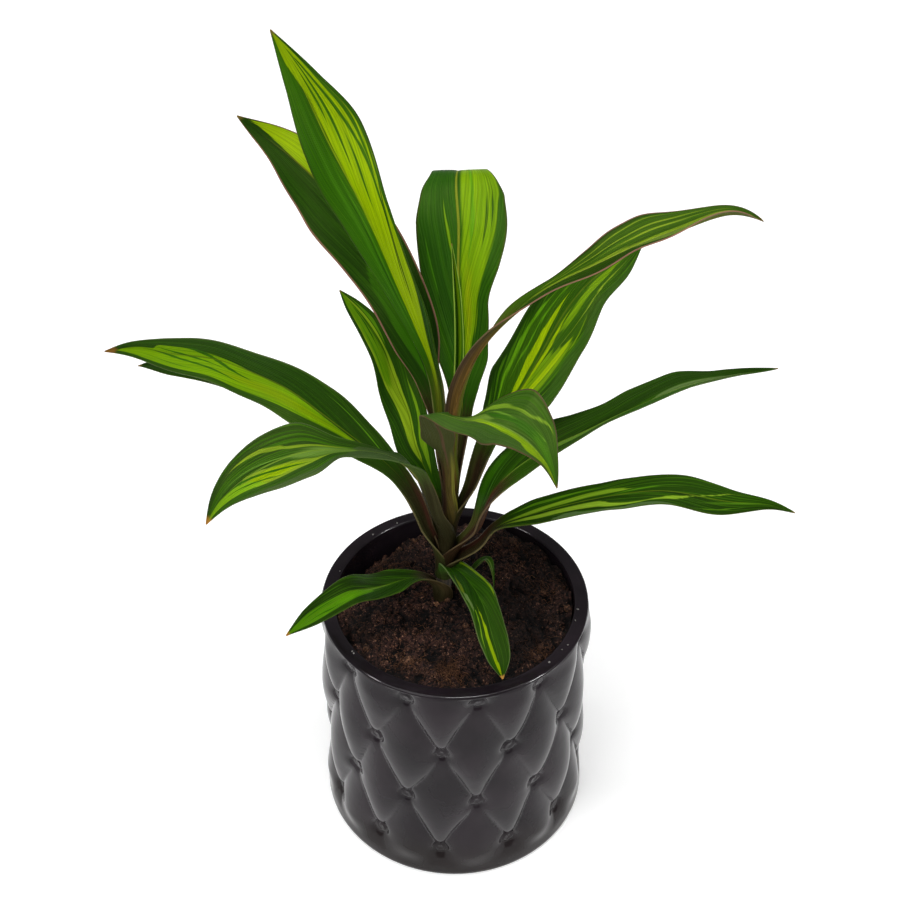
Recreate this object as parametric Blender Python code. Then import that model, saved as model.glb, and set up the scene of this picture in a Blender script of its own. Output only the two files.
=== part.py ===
"""A young ti plant in a quilted round ceramic pot.

World frame: metres, +Z up, origin at the centre of the pot's flat bottom, -Y is the front.
Sizes below are in millimetres and MM turns them into metres.
"""

import math

import bmesh
import bpy
import numpy as np
from mathutils import Vector, noise

MM = 0.001
GAP = 0.3  # clearance between pieces that touch

# Pot
POT_HEIGHT = 135.0
RIM_RADIUS = 66.0
BODY_RADIUS = 67.2  # at half height, between the quilting's creases and crests
FOOT_RADIUS = 69.5
FOOT_CHAMFER = 1.5
WALL = 7.0
RIM_ROUND = 1.2
FLOOR = 6.0
INNER_FOOT_RADIUS = 56.0
POT_SIDES = 96

# Quilting of the pot's outer wall
BUTTON_COLUMNS = 12
BUTTON_ROWS = 4
TOP_BUTTON_HEIGHT = 128.0
ROW_PITCH = 36.4
FIRST_BUTTON_TURN = math.radians(9.3)
QUILT_DEPTH = 3.2
DIMPLE_DEPTH = 1.6
DIMPLE_WIDTH = 4.5
RINGS_PER_ROW = 4  # with eight sides to a column, the creases run through the mesh's corners

# Soil
SOIL_LEVEL = 130.0
SOIL_CROWN = 2.0
SOIL_LUMP = 2.6
SOIL_HOLLOW = 17.0  # how far the soil has sunk beside the wall at the back left
HOLLOW_TURN = math.radians(-128.0)
HOLLOW_SPREAD = math.radians(34.0)
SOIL_SIDES = 48
SOIL_RINGS = 9

# Stem
STEM_FOOT = (-8.0, 3.0, 100.0)
STEM_TOP = (-1.0, 4.4, 215.0)
STEM_RADIUS = 4.6
STEM_TOP_RADIUS = 1.8
STEM_SCAR = 0.35  # height of the rings that fallen leaves have left
SCAR_PITCH = 7.0
STEM_SIDES = 16
STEM_RINGS = 24

# Every leaf
BLADE_EDGE = 0.7
BLADE_RIB = 1.5
STALK_EDGE = 0.9
STALK_RIB = 2.0
TIP_HALF_WIDTH = 0.5
STATION_STEP = 9.0
FEWEST_STATIONS, MOST_STATIONS = 12, 24
LEAF_COLUMNS = (-1.0, -0.55, 0.0, 0.55, 1.0)
SHEATH_CURL = 52.0  # degrees by which each half bends round the stem at the leaf's foot
STALK_RISE, STALK_CURL = 12.0, 40.0  # the stalk is a shallow channel
BLADE_CURL = -8.0

# Each leaf is a row of stations from foot to tip. A station is a point of the rib (mm), the half
# width there (mm), and the way that the upper side faces. Two half widths are those of the left and
# the right half, seen from above with the tip pointing away. Stalk is the stalk's share of the
# length. Fold is the angle in degrees by which each half of the blade rises from the rib: one angle,
# or several at even steps along the leaf. Wave is the height in mm of the margins' waves, their
# number and their phase in turns.
LEAVES = {
    "leaf_tall_left_front": {
        "stalk": 0.25, "fold": 20.0, "wave": (1.0, 2.5, 0.1),
        "stations": (
            ((-5.5, 4.2, 204), 2.6, (1.0, 0.0, 0.1)),
            ((-7, 6, 220), 2.8, (0.7, -0.7, 0.2)),
            ((-7, 8, 238), 3.0, (0.1, -1.0, 0.2)),
            ((-10, 14, 264), (3.2, 5.8), (-0.5, -0.9, 0.0)),
            ((-22, 21, 295), (7.0, 12.5), (-0.5, -0.8, 0.1)),
            ((-38, 33, 331), (11.0, 11.5), (-0.1, -0.9, 0.3)),
            ((-54, 45, 359), (16.5, 17.0), (0.6, -0.6, 0.6)),
            ((-65, 53, 382), 8.2, (0.4, -0.7, 0.5)),
            ((-76, 60, 401), 0.5, (0.3, -0.8, 0.5)),
        ),
    },
    "leaf_tall_left_back": {
        "stalk": 0.25, "fold": 16.0, "wave": (1.0, 3.0, 0.4),
        "stations": (
            ((-5, 7, 190), 3.0, (0.7, -0.7, 0.1)),
            ((-7, 11, 215), 3.0, (0.5, -0.8, 0.2)),
            ((-8, 14, 234), 3.5, (0.0, -0.9, 0.3)),
            ((-11, 19, 251), 6.5, (-0.5, -0.8, 0.2)),
            ((-17, 28, 269), 11.5, (-0.2, -0.9, 0.4)),
            ((-27, 38, 290), 13.5, (0.0, -0.9, 0.5)),
            ((-38, 48, 304), 15.5, (0.1, -0.8, 0.6)),
            ((-50, 58, 317), 16.5, (-0.2, -0.8, 0.5)),
            ((-61, 67, 327), (14.5, 14.0), (-0.2, -0.9, 0.5)),
            ((-77, 79, 336), (9.8, 10.6), (0.3, -0.5, 0.8)),
            ((-98, 88, 349), 0.5, (0.0, -0.8, 0.6)),
        ),
    },
    "leaf_back_folded": {
        "stalk": 0.18, "fold": 3.0, "wave": (1.0, 3.0, 0.6),
        "stations": (
            ((-1.4, 8.3, 201), 2.4, (-0.2, -1.0, 0.1)),
            ((2, 13, 220), 3.2, (-0.1, -1.0, 0.2)),
            ((3, 18, 238), 5.0, (0.2, -0.9, 0.3)),
            ((3, 22, 249), 8.0, (0.4, -0.8, 0.4)),
            ((3, 28, 261), 12.5, (0.4, -0.8, 0.4)),
            ((2, 37, 280), (15.0, 12.5), (-0.1, -0.9, 0.5)),
            ((1, 47, 297), (17.5, 18.5), (-0.1, -0.9, 0.5)),
            ((1, 57, 313), (19.0, 22.0), (0.1, -0.8, 0.6)),
            ((0, 66, 322), (16.0, 22.5), (0.2, -0.6, 0.8)),
            ((0, 76, 326), (11.5, 19.0), (0.1, -0.2, 1.0)),
            ((1, 86, 323), (11.0, 13.0), (0.0, 0.4, 0.9)),
            ((1, 97, 313), 9.0, (0.0, 0.7, 0.7)),
            ((2, 107, 298), 0.5, (0.0, 0.8, 0.6)),
        ),
    },
    "leaf_right_long": {
        "stalk": 0.45, "fold": 28.0, "wave": (1.0, 2.0, 0.2),
        "stations": (
            ((-2, 0, 199), 2.6, (0.0, 1.0, 0.1)),
            ((-2, -2, 236), 3.2, (0.0, 1.0, 0.1)),
            ((1, -4, 264), 4.2, (-0.2, 0.9, 0.2)),
            ((7, -7, 283), 4.0, (-0.4, 0.8, 0.3)),
            ((17, -9, 301), 3.8, (-0.7, 0.4, 0.6)),
            ((23, -9, 308), 4.2, (-0.7, 0.1, 0.7)),
            ((38, -8.5, 321.5), (3.4, 4.6), (-0.6, -0.3, 0.8)),
            ((55, -5.5, 329.5), (7.0, 7.5), (-0.3, -0.4, 0.9)),
            ((70, -1, 335), (11.5, 10.5), (-0.3, 0.0, 1.0)),
            ((80, 2, 338), (13.0, 11.5), (-0.3, 0.05, 1.0)),
            ((93, 6, 341), (11.0, 8.0), (-0.2, 0.2, 1.0)),
            ((111, 10, 345), (5.2, 4.0), (0.0, 0.2, 1.0)),
            ((126, 14, 339), 0.5, (0.3, -0.4, 0.8)),
        ),
    },
    "leaf_right_broad": {
        "stalk": 0.25, "fold": 16.0, "wave": (1.0, 3.0, 0.5),
        "stations": (
            ((1.2, 3.2, 176), 3.0, (-1.0, 0.0, 0.1)),
            ((9.3, 8, 204), 4.6, (-0.7, -0.6, 0.3)),
            ((15, 14, 222), 5.2, (-0.4, -0.7, 0.6)),
            ((22, 21, 233), (10.5, 12.5), (-0.4, -0.6, 0.7)),
            ((31, 28, 244), (16.5, 18.5), (-0.4, -0.6, 0.7)),
            ((44, 42, 263), (15.5, 18.5), (-0.2, -0.6, 0.8)),
            ((60, 57, 280), (12.0, 12.0), (0.1, -0.7, 0.7)),
            ((73, 68, 285), 9.0, (0.3, -0.7, 0.6)),
            ((89, 82, 290), 0.5, (0.3, -0.6, 0.7)),
        ),
    },
    "leaf_right_middle": {
        "stalk": 0.16, "fold": 25.0, "wave": (0.8, 2.5, 0.0),
        "stations": (
            ((1.5, 1, 157), 3.0, (-1.0, 0.1, 0.2)),
            ((8.6, -1, 175), (4.4, 4.6), (-0.95, -0.1, 0.3)),
            ((14.2, -2, 193), (7.6, 8.5), (-0.95, -0.1, 0.3)),
            ((20, -1, 208), (9.5, 12.0), (-0.7, -0.15, 0.7)),
            ((29, 3, 216), (11.5, 12.5), (-0.4, -0.1, 0.9)),
            ((47, 9, 225), (14.0, 13.0), (-0.4, 0.0, 0.9)),
            ((58, 12, 229), (11.5, 11.0), (-0.4, 0.05, 0.9)),
            ((71, 15, 235), (9.0, 8.0), (-0.3, 0.15, 0.9)),
            ((85, 19, 240), (11.5, 9.0), (-0.3, 0.25, 1.0)),
            ((102, 24, 245), (12.3, 8.0), (-0.2, 0.25, 1.0)),
            ((121, 30, 247), (4.8, 4.5), (0.0, 0.2, 1.0)),
            ((151, 42, 244), 0.5, (0.2, -0.1, 1.0)),
        ),
    },
    "leaf_front_folded": {
        "stalk": 0.3, "wave": (0.0, 1.0, 0.0),
        "fold": (12.0, 12.0, 12.0, 12.0, 10.0, 0.0, -20.0, -5.0, 28.0, 30.0, 30.0),
        "stations": (
            ((-1.6, -0.9, 180), 3.0, (-0.2, 1.0, 0.0)),
            ((-3, -6.5, 214), 2.8, (0.0, 0.9, 0.2)),
            ((-4, -9.5, 234), (3.2, 4.6), (0.1, 0.9, 0.3)),
            ((-5, -10.8, 241), (4.5, 11.5), (0.2, 0.9, 0.3)),
            ((-6, -12, 248), (6.0, 10.5), (0.3, 0.9, 0.3)),
            ((-9, -17, 263), (8.0, 5.0), (0.0, 0.4, 0.9)),
            ((-2, -22, 265), (2.0, 6.0), (-0.1, 0.0, 1.0)),
            ((5, -26, 266), (3.2, 6.5), (-0.1, -0.2, 1.0)),
            ((12, -30, 269), (13.0, 9.5), (-0.1, -0.3, 1.0)),
            ((22, -37, 270), (20.0, 14.5), (0.0, -0.3, 1.0)),
            ((30, -43, 268), (14.5, 11.0), (0.2, -0.3, 0.9)),
            ((37, -49, 262), (6.0, 3.2), (0.3, -0.4, 0.8)),
            ((42, -53, 252), 0.5, (0.3, -0.5, 0.7)),
        ),
    },
    "leaf_right_low": {
        "stalk": 0.2, "fold": 10.0, "wave": (0.8, 3.0, 0.4),
        "stations": (
            ((0, 2.5, 150), 3.2, (-1.0, 0.1, 0.3)),
            ((12.2, -0.4, 168), 3.3, (-0.6, -0.4, 0.6)),
            ((19, 0, 180), 3.2, (-0.7, -0.1, 0.7)),
            ((28, 0, 186), 5.0, (-0.5, -0.2, 0.8)),
            ((40, 0, 191), 7.2, (-0.3, -0.3, 0.9)),
            ((67, 2, 198), 6.8, (-0.1, -0.4, 0.9)),
            ((80, 3, 200), 8.0, (0.0, -0.3, 0.9)),
            ((95, 5, 200), 8.2, (0.1, -0.3, 0.9)),
            ((111, 7, 196), 9.0, (0.3, -0.3, 0.9)),
            ((123, 8, 192), 8.0, (0.2, -0.4, 0.9)),
            ((137, 9, 189), 5.0, (0.2, -0.5, 0.9)),
            ((149, 10, 187), 2.5, (0.2, -0.5, 0.8)),
            ((163, 11, 181), 0.5, (0.3, -0.5, 0.8)),
        ),
    },
    "leaf_left_upper": {
        "stalk": 0.24, "fold": 20.0, "wave": (0.8, 3.5, 0.0),
        "stations": (
            ((-9.6, 2.4, 151), 3.2, (1.0, 0.1, 0.3)),
            ((-15, 3.5, 181), 4.0, (0.5, -0.8, 0.4)),
            ((-27, 8, 207), 5.0, (0.4, -0.7, 0.5)),
            ((-43, 14, 220), 9.5, (0.4, -0.6, 0.8)),
            ((-65, 20, 237), 12.5, (0.1, -0.8, 0.6)),
            ((-76, 24, 244), 12.5, (-0.1, -0.9, 0.4)),
            ((-92, 30, 249), 13.0, (-0.3, -0.9, 0.2)),
            ((-111, 37, 252), 10.5, (-0.3, -0.9, 0.3)),
            ((-132, 44, 250), 8.5, (-0.3, -0.9, 0.3)),
            ((-151, 50, 249), (4.5, 3.5), (-0.3, -0.9, 0.4)),
            ((-167, 54, 244), 0.5, (-0.3, -0.8, 0.5)),
        ),
    },
    "leaf_left_folded": {
        "stalk": 0.3, "fold": 16.0, "wave": (0.8, 2.0, 0.2),
        "stations": (
            ((-3.6, -1.5, 167), 3.2, (0.1, 1.0, 0.2)),
            ((-9.5, -6.5, 193), 4.4, (0.4, 0.9, 0.3)),
            ((-15.5, -9, 217), (4.8, 7.0), (0.5, 0.7, 0.5)),
            ((-22, -13, 231), 6.5, (0.5, 0.4, 0.7)),
            ((-31, -17, 240), (4.5, 2.5), (0.4, 0.1, 0.8)),
            ((-49, -25, 249), (5.2, 5.5), (0.3, -0.1, 0.9)),
            ((-65, -33, 254), 14.0, (0.2, -0.3, 0.9)),
            ((-76, -38, 253), 13.0, (0.1, -0.5, 0.9)),
            ((-87, -44, 250), 10.0, (-0.1, -0.6, 0.8)),
            ((-97, -49, 243), 5.5, (-0.3, -0.7, 0.7)),
            ((-105, -54, 232), 0.5, (-0.3, -0.8, 0.5)),
        ),
    },
    "leaf_left_inner": {
        "stalk": 0.12, "fold": 16.0, "wave": (0.6, 2.0, 0.2),
        "stations": (
            ((-6, 6.5, 176), 3.0, (0.7, -0.7, 0.1)),
            ((-9, 11, 190), 3.5, (0.2, -1.0, 0.2)),
            ((-14, 16, 203), 6.5, (-0.1, -0.9, 0.3)),
            ((-19, 21, 215), 9.5, (-0.3, -0.9, 0.4)),
            ((-22, 28, 227), 10.0, (-0.2, -0.8, 0.4)),
            ((-27, 35, 237), 9.5, (0.1, -0.8, 0.6)),
            ((-33, 43, 251), 8.0, (0.4, -0.7, 0.6)),
            ((-42, 51, 264), 5.5, (0.1, -0.8, 0.6)),
            ((-48, 55, 270), 3.5, (0.0, -0.8, 0.6)),
            ((-54, 60, 275), 0.5, (-0.1, -0.7, 0.7)),
        ),
    },
    "leaf_small_left": {
        "stalk": 0.2, "fold": 14.0, "wave": (0.6, 2.0, 0.0),
        "stations": (
            ((-9.2, -1, 134.5), 2.4, (0.5, 0.8, 0.3)),
            ((-13.5, -2.8, 142), 2.4, (0.6, 0.4, 0.6)),
            ((-19, -5, 151), 3.0, (0.5, 0.2, 0.8)),
            ((-31, -14, 157), 8.0, (0.3, 0.1, 0.9)),
            ((-41, -22, 162), 8.0, (0.3, 0.0, 0.9)),
            ((-48, -28, 166), 7.5, (0.2, -0.2, 0.9)),
            ((-56, -35, 166), 6.8, (0.1, -0.3, 0.9)),
            ((-65, -45, 167), 5.0, (0.1, -0.3, 0.9)),
            ((-76, -56, 166), 0.5, (0.1, -0.3, 0.9)),
        ),
    },
    "leaf_small_front": {
        "stalk": 0.1, "fold": 10.0, "wave": (0.6, 2.0, 0.5),
        "stations": (
            ((-3.4, -2.2, 150), (2.6, 3.6), (0.0, 0.8, 0.6)),
            ((3, -10, 159), (5.0, 6.5), (0.0, 0.2, 1.0)),
            ((10, -24, 162), 8.0, (0.1, 0.0, 1.0)),
            ((14, -34, 160), 7.0, (0.1, -0.2, 1.0)),
            ((17, -44, 155), 7.0, (0.1, -0.4, 0.9)),
            ((20, -53, 149), 5.5, (0.1, -0.5, 0.9)),
            ((22, -61, 143), 0.5, (0.1, -0.6, 0.8)),
        ),
    },
    "leaf_small_curled": {
        "stalk": 0.3, "fold": 15.0, "wave": (0.0, 1.0, 0.0),
        "stations": (
            ((-1.1, 3.5, 143), 1.6, (-0.6, 0.0, 0.8)),
            ((7, 4, 147), 1.6, (-0.4, 0.0, 0.9)),
            ((12, 6, 152), 2.0, (-0.4, 0.0, 0.9)),
            ((16.5, 4, 156), (1.6, 2.6), (0.2, 0.0, 1.0)),
            ((18, 0.5, 154), (1.4, 2.6), (0.8, -0.2, 0.6)),
            ((19, -4, 144), 0.5, (0.9, -0.4, 0.3)),
        ),
    },
    "leaf_spear": {
        "stalk": 0.2, "fold": 62.0, "wave": (0.0, 1.0, 0.0),
        "stations": (
            ((-1.5, 4.8, 216), 2.2, (0.5, -0.8, 0.1)),
            ((-1.3, 9, 240), 3.0, (0.4, -0.9, 0.2)),
            ((0, 14, 263), 4.0, (0.4, -0.9, 0.3)),
            ((0, 24, 294), 3.2, (0.3, -0.9, 0.4)),
            ((-2, 34, 316), 0.5, (0.3, -0.9, 0.4)),
        ),
    },
    "leaf_left_hidden": {
        "stalk": 0.22, "fold": 10.0, "wave": (0.8, 3.0, 0.2),
        "stations": (
            ((-7, 7.6, 159), 2.8, (0.6, -0.8, 0.2)),
            ((-27, 19, 201), 3.0, (0.5, -0.5, 0.7)),
            ((-55, 34, 220), 7.5, (0.1, -0.3, 0.9)),
            ((-97, 52, 228), 9.5, (0.0, -0.3, 1.0)),
            ((-136, 66, 227), 6.5, (0.0, -0.3, 1.0)),
            ((-158, 74, 221), 0.5, (0.0, -0.3, 0.9)),
        ),
    },
}


def clear_scene():
    for obj in list(bpy.data.objects):
        bpy.data.objects.remove(obj)


def material(name, colour, roughness, metallic=0.0, coat=0.0):
    made = bpy.data.materials.new(name)
    made.use_nodes = True
    shader = made.node_tree.nodes["Principled BSDF"]
    shader.inputs["Base Color"].default_value = (*colour, 1.0)
    shader.inputs["Roughness"].default_value = roughness
    shader.inputs["Metallic"].default_value = metallic
    shader.inputs["Coat Weight"].default_value = coat
    return made


def add_object(name, shape, surface):
    """Turns a bmesh in millimetres into a named object in metres."""
    bmesh.ops.scale(shape, vec=(MM, MM, MM), verts=shape.verts)
    mesh = bpy.data.meshes.new(name)
    shape.to_mesh(mesh)
    shape.free()
    mesh.shade_smooth()
    mesh.set_sharp_from_angle(angle=math.radians(50))
    mesh.materials.append(surface)
    made = bpy.data.objects.new(name, mesh)
    bpy.context.scene.collection.objects.link(made)
    return made


def smooth_step(value):
    value = np.clip(value, 0.0, 1.0)
    return value * value * (3 - 2 * value)


def natural_spline(knots, points, places):
    """The smooth curve through the points at their knots, sampled at other places."""
    steps = np.diff(knots)[:, None]
    count = len(points)
    rises = np.diff(points, axis=0) / steps
    system = np.eye(count)
    bends = np.zeros(points.shape)
    for i in range(1, count - 1):
        before, after = steps[i - 1, 0], steps[i, 0]
        system[i, i - 1 : i + 2] = before, 2 * (before + after), after
        bends[i] = 6 * (rises[i] - rises[i - 1])
    bends = np.linalg.solve(system, bends)
    span = np.clip(np.searchsorted(knots, places, side="right") - 1, 0, count - 2)
    after = (places - knots[span])[:, None] / steps[span]
    before = 1 - after
    curve = before * points[span] + after * points[span + 1]
    sag = (before**3 - before) * bends[span] + (after**3 - after) * bends[span + 1]
    return curve + sag * steps[span] ** 2 / 6


def steady_curve(knots, values, places):
    """A smooth curve through the values that never swings beyond its neighbours."""
    steps = np.diff(knots)
    slopes = np.diff(values) / steps
    tangents = np.concatenate([slopes[:1], np.zeros(len(values) - 2), slopes[-1:]])
    for i, (before, after) in enumerate(zip(slopes, slopes[1:]), 1):
        if before * after > 0:
            tangents[i] = 2 * before * after / (before + after)
    span = np.clip(np.searchsorted(knots, places, side="right") - 1, 0, len(values) - 2)
    step = steps[span]
    after = (places - knots[span]) / step
    curve = values[span] + (values[span + 1] - values[span]) * smooth_step(after)
    leave = tangents[span] * step * after * (1 - after) ** 2
    return curve + leave - tangents[span + 1] * step * after**2 * (1 - after)


def unit(vectors):
    return vectors / np.linalg.norm(vectors, axis=-1, keepdims=True)


def leaf_course(leaf, count=None):
    """Rib points, half widths and facing directions at even steps of the rib's true length."""
    points, widths, faces = zip(*leaf["stations"])
    points, faces = np.array(points, float), np.array(faces, float)
    widths = np.array([np.broadcast_to(width, 2) for width in widths], float)
    knots = np.concatenate([[0.0], np.cumsum(np.linalg.norm(np.diff(points, axis=0), axis=1))])
    dense = np.linspace(0, knots[-1], 600)
    curve = natural_spline(knots, points, dense)
    run = np.concatenate([[0.0], np.cumsum(np.linalg.norm(np.diff(curve, axis=0), axis=1))])
    count = count or int(np.clip(run[-1] / STATION_STEP, FEWEST_STATIONS, MOST_STATIONS))
    places = np.interp(np.linspace(0, run[-1], count), run, dense)
    halves = np.stack([steady_curve(knots, side, places) for side in widths.T], axis=1)
    halves = np.maximum(halves, TIP_HALF_WIDTH)
    return natural_spline(knots, points, places), halves, natural_spline(knots, unit(faces), places)


def leaf_surface(leaf, columns, count=None):
    """The leaf's middle surface and its normals and thickness, as grids of stations by columns."""
    rib, halves, facing = leaf_course(leaf, count)
    along = np.linspace(0, 1, len(rib))[:, None]
    across = np.array(columns)[None, :]
    half = np.where(across < 0, halves[:, :1], halves[:, 1:])
    forward = unit(np.gradient(rib, axis=0))
    facing = unit(facing - (facing * forward).sum(1, keepdims=True) * forward)
    side = np.cross(forward, facing)
    stalk = leaf["stalk"]
    leave_stem = smooth_step(along / (0.5 * stalk))
    open_up = smooth_step((along - 0.6 * stalk) / (0.2 + 0.4 * stalk))
    fold = np.atleast_1d(leaf["fold"])
    fold = np.interp(along, np.linspace(0, 1, len(fold)), fold)
    rise = np.radians(STALK_RISE * leave_stem + (fold - STALK_RISE) * open_up)
    curl = SHEATH_CURL + (STALK_CURL - SHEATH_CURL) * leave_stem
    curl = np.radians(curl + (BLADE_CURL - curl) * open_up)
    curl = np.where(np.abs(curl) < 1e-3, 1e-3, curl)
    reach = np.abs(across)
    out = (np.sin(rise + curl * reach) - np.sin(rise)) / curl
    lift = (np.cos(rise) - np.cos(rise + curl * reach)) / curl
    height, waves, phase = leaf["wave"]
    blade = np.clip((along - stalk) / (1 - stalk), 0, 1)
    turn = 2 * math.pi * (waves * blade + phase + 0.23 * (across > 0))
    wave = height * np.sin(turn) * np.sqrt(np.sin(math.pi * blade)) * reach**1.6
    middle = rib[:, None] + side[:, None] * (half * np.sign(across) * out)[..., None]
    middle = middle + facing[:, None] * (half * lift + wave)[..., None]
    normal = unit(np.cross(np.gradient(middle, axis=1), np.gradient(middle, axis=0)))
    edge = STALK_EDGE + (BLADE_EDGE - STALK_EDGE) * open_up
    spine = STALK_RIB + (BLADE_RIB - STALK_RIB) * open_up
    spine = edge + (spine - edge) * np.clip(half / 3, 0.2, 1.0)
    return middle, normal, edge + (spine - edge) * (1 - reach) ** 2


def sheet_solid(middle, normal, thick):
    """A closed solid from a middle surface, with both faces split into triangles alike."""
    shape = bmesh.new()
    stations, columns = thick.shape
    half = 0.5 * thick[..., None] * normal
    faces = {
        +1: [[shape.verts.new(p) for p in row] for row in middle + half],
        -1: [[shape.verts.new(p) for p in row] for row in middle - half],
    }

    def triangle(a, b, c, way):
        shape.faces.new((a, b, c) if way > 0 else (c, b, a))

    for way, grid in faces.items():
        for i in range(stations - 1):
            for j in range(columns - 1):
                a, b = grid[i][j], grid[i][j + 1]
                c, d = grid[i + 1][j + 1], grid[i + 1][j]
                if j < columns // 2:
                    triangle(a, b, c, way)
                    triangle(a, c, d, way)
                else:
                    triangle(a, b, d, way)
                    triangle(b, c, d, way)
    top, bottom = faces[1], faces[-1]
    loop = [(0, j) for j in range(columns - 1)]
    loop += [(i, columns - 1) for i in range(stations - 1)]
    loop += [(stations - 1, j) for j in range(columns - 1, 0, -1)]
    loop += [(i, 0) for i in range(stations - 1, 0, -1)]
    for (i, j), (k, m) in zip(loop, loop[1:] + loop[:1]):
        triangle(top[i][j], bottom[i][j], bottom[k][m], 1)
        triangle(top[i][j], bottom[k][m], top[k][m], 1)
    return shape


def build_leaf(name, leaf, surface):
    middle, normal, thick = leaf_surface(leaf, LEAF_COLUMNS)
    return add_object(name, sheet_solid(middle, normal, thick), surface)


def ringed_solid(rings, start, end):
    """A closed solid from rings of points, with a point at each end; its edges follow the hollows."""
    shape = bmesh.new()
    rows = [[shape.verts.new(point) for point in ring] for ring in rings]
    for low, high in zip(rows, rows[1:]):
        for i in range(len(low)):
            j = (i + 1) % len(low)
            rising = low[i].co.xy.length + high[j].co.xy.length
            falling = low[j].co.xy.length + high[i].co.xy.length
            if rising <= falling + 1e-6:
                shape.faces.new((low[i], low[j], high[j]))
                shape.faces.new((low[i], high[j], high[i]))
            else:
                shape.faces.new((low[i], low[j], high[i]))
                shape.faces.new((low[j], high[j], high[i]))
    first, last = shape.verts.new(start), shape.verts.new(end)
    count = len(rows[0])
    for i in range(count):
        j = (i + 1) % count
        shape.faces.new((first, rows[0][j], rows[0][i]))
        shape.faces.new((last, rows[-1][i], rows[-1][j]))
    return shape


def quilt(turn, height):
    """How far the quilted wall stands out at a turn about the pot and a height."""
    columns = (turn - FIRST_BUTTON_TURN) * BUTTON_COLUMNS / (2 * math.pi)
    rows = (TOP_BUTTON_HEIGHT - height) / (2 * ROW_PITCH)
    crease = abs(math.sin(math.pi * (columns + rows)) * math.sin(math.pi * (columns - rows)))
    fade_foot = float(smooth_step((height - 6.0) / 12.0))
    fade_rim = 0.25 + 0.75 * float(smooth_step((POT_HEIGHT - height) / 12.0))
    bulge = QUILT_DEPTH * (crease**0.6 - 0.6) * fade_foot * fade_rim
    row = round((TOP_BUTTON_HEIGHT - height) / ROW_PITCH)
    if not 0 <= row < BUTTON_ROWS:
        return bulge
    column = round(columns - 0.5 * (row % 2)) + 0.5 * (row % 2)
    aside = (columns - column) * 2 * math.pi / BUTTON_COLUMNS * BODY_RADIUS
    above = height - (TOP_BUTTON_HEIGHT - row * ROW_PITCH)
    dimple = math.exp(-(aside**2 + above**2) / DIMPLE_WIDTH**2)
    return bulge - DIMPLE_DEPTH * dimple * fade_foot


def pot_ring(radius, height, quilted):
    ring = []
    for i in range(POT_SIDES):
        turn = FIRST_BUTTON_TURN + 2 * math.pi * i / POT_SIDES
        reach = radius + (quilt(turn, height) if quilted else 0.0)
        ring.append((reach * math.sin(turn), -reach * math.cos(turn), height))
    return ring


def wall_radius(height):
    """The outer wall's radius without its quilting: slightly barrelled, drawn in at the foot."""
    share = height / POT_HEIGHT
    ends = FOOT_RADIUS + (RIM_RADIUS - FOOT_RADIUS) * share
    return ends + (BODY_RADIUS - ends) * math.sin(math.pi * share)


def inner_radius(height):
    share = (height - FLOOR) / (POT_HEIGHT - FLOOR)
    return INNER_FOOT_RADIUS + (RIM_RADIUS - WALL - INNER_FOOT_RADIUS) * share


def build_pot(surface):
    step = ROW_PITCH / RINGS_PER_ROW
    heights = [TOP_BUTTON_HEIGHT - step * i for i in range(int((TOP_BUTTON_HEIGHT - 5) / step) + 1)]
    heights = [FOOT_CHAMFER] + heights[::-1] + [POT_HEIGHT - RIM_ROUND]
    rings = [pot_ring(FOOT_RADIUS - FOOT_CHAMFER, 0.0, False)]
    rings += [pot_ring(wall_radius(height), height, True) for height in heights]
    rings.append(pot_ring(RIM_RADIUS - RIM_ROUND, POT_HEIGHT, False))
    rings.append(pot_ring(RIM_RADIUS - WALL + RIM_ROUND, POT_HEIGHT, False))
    for height in (POT_HEIGHT - RIM_ROUND, FLOOR):
        rings.append(pot_ring(inner_radius(height), height, False))
    return add_object("pot", ringed_solid(rings, (0, 0, 0), (0, 0, FLOOR)), surface)


def soil_height(x, y):
    """The soil's surface: a low crown, crumbly lumps, and a hollow beside the wall at the back left."""
    share = min(1.0, math.hypot(x, y) / (RIM_RADIUS - WALL))
    turn = math.atan2(x, -y)
    away = abs((turn - HOLLOW_TURN + math.pi) % (2 * math.pi) - math.pi)
    hollow = SOIL_HOLLOW * math.exp(-((away / HOLLOW_SPREAD) ** 2)) * share**6
    coarse = noise.noise(Vector((x / 17, y / 17, 3.0)))
    fine = noise.noise(Vector((x / 7, y / 7, 8.0)))
    return SOIL_LEVEL + SOIL_CROWN * (1 - share**2) + SOIL_LUMP * (coarse + 0.5 * fine) - hollow


def stem_axis(height):
    share = (height - STEM_FOOT[2]) / (STEM_TOP[2] - STEM_FOOT[2])
    return [STEM_FOOT[k] + (STEM_TOP[k] - STEM_FOOT[k]) * share for k in range(3)]


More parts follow.
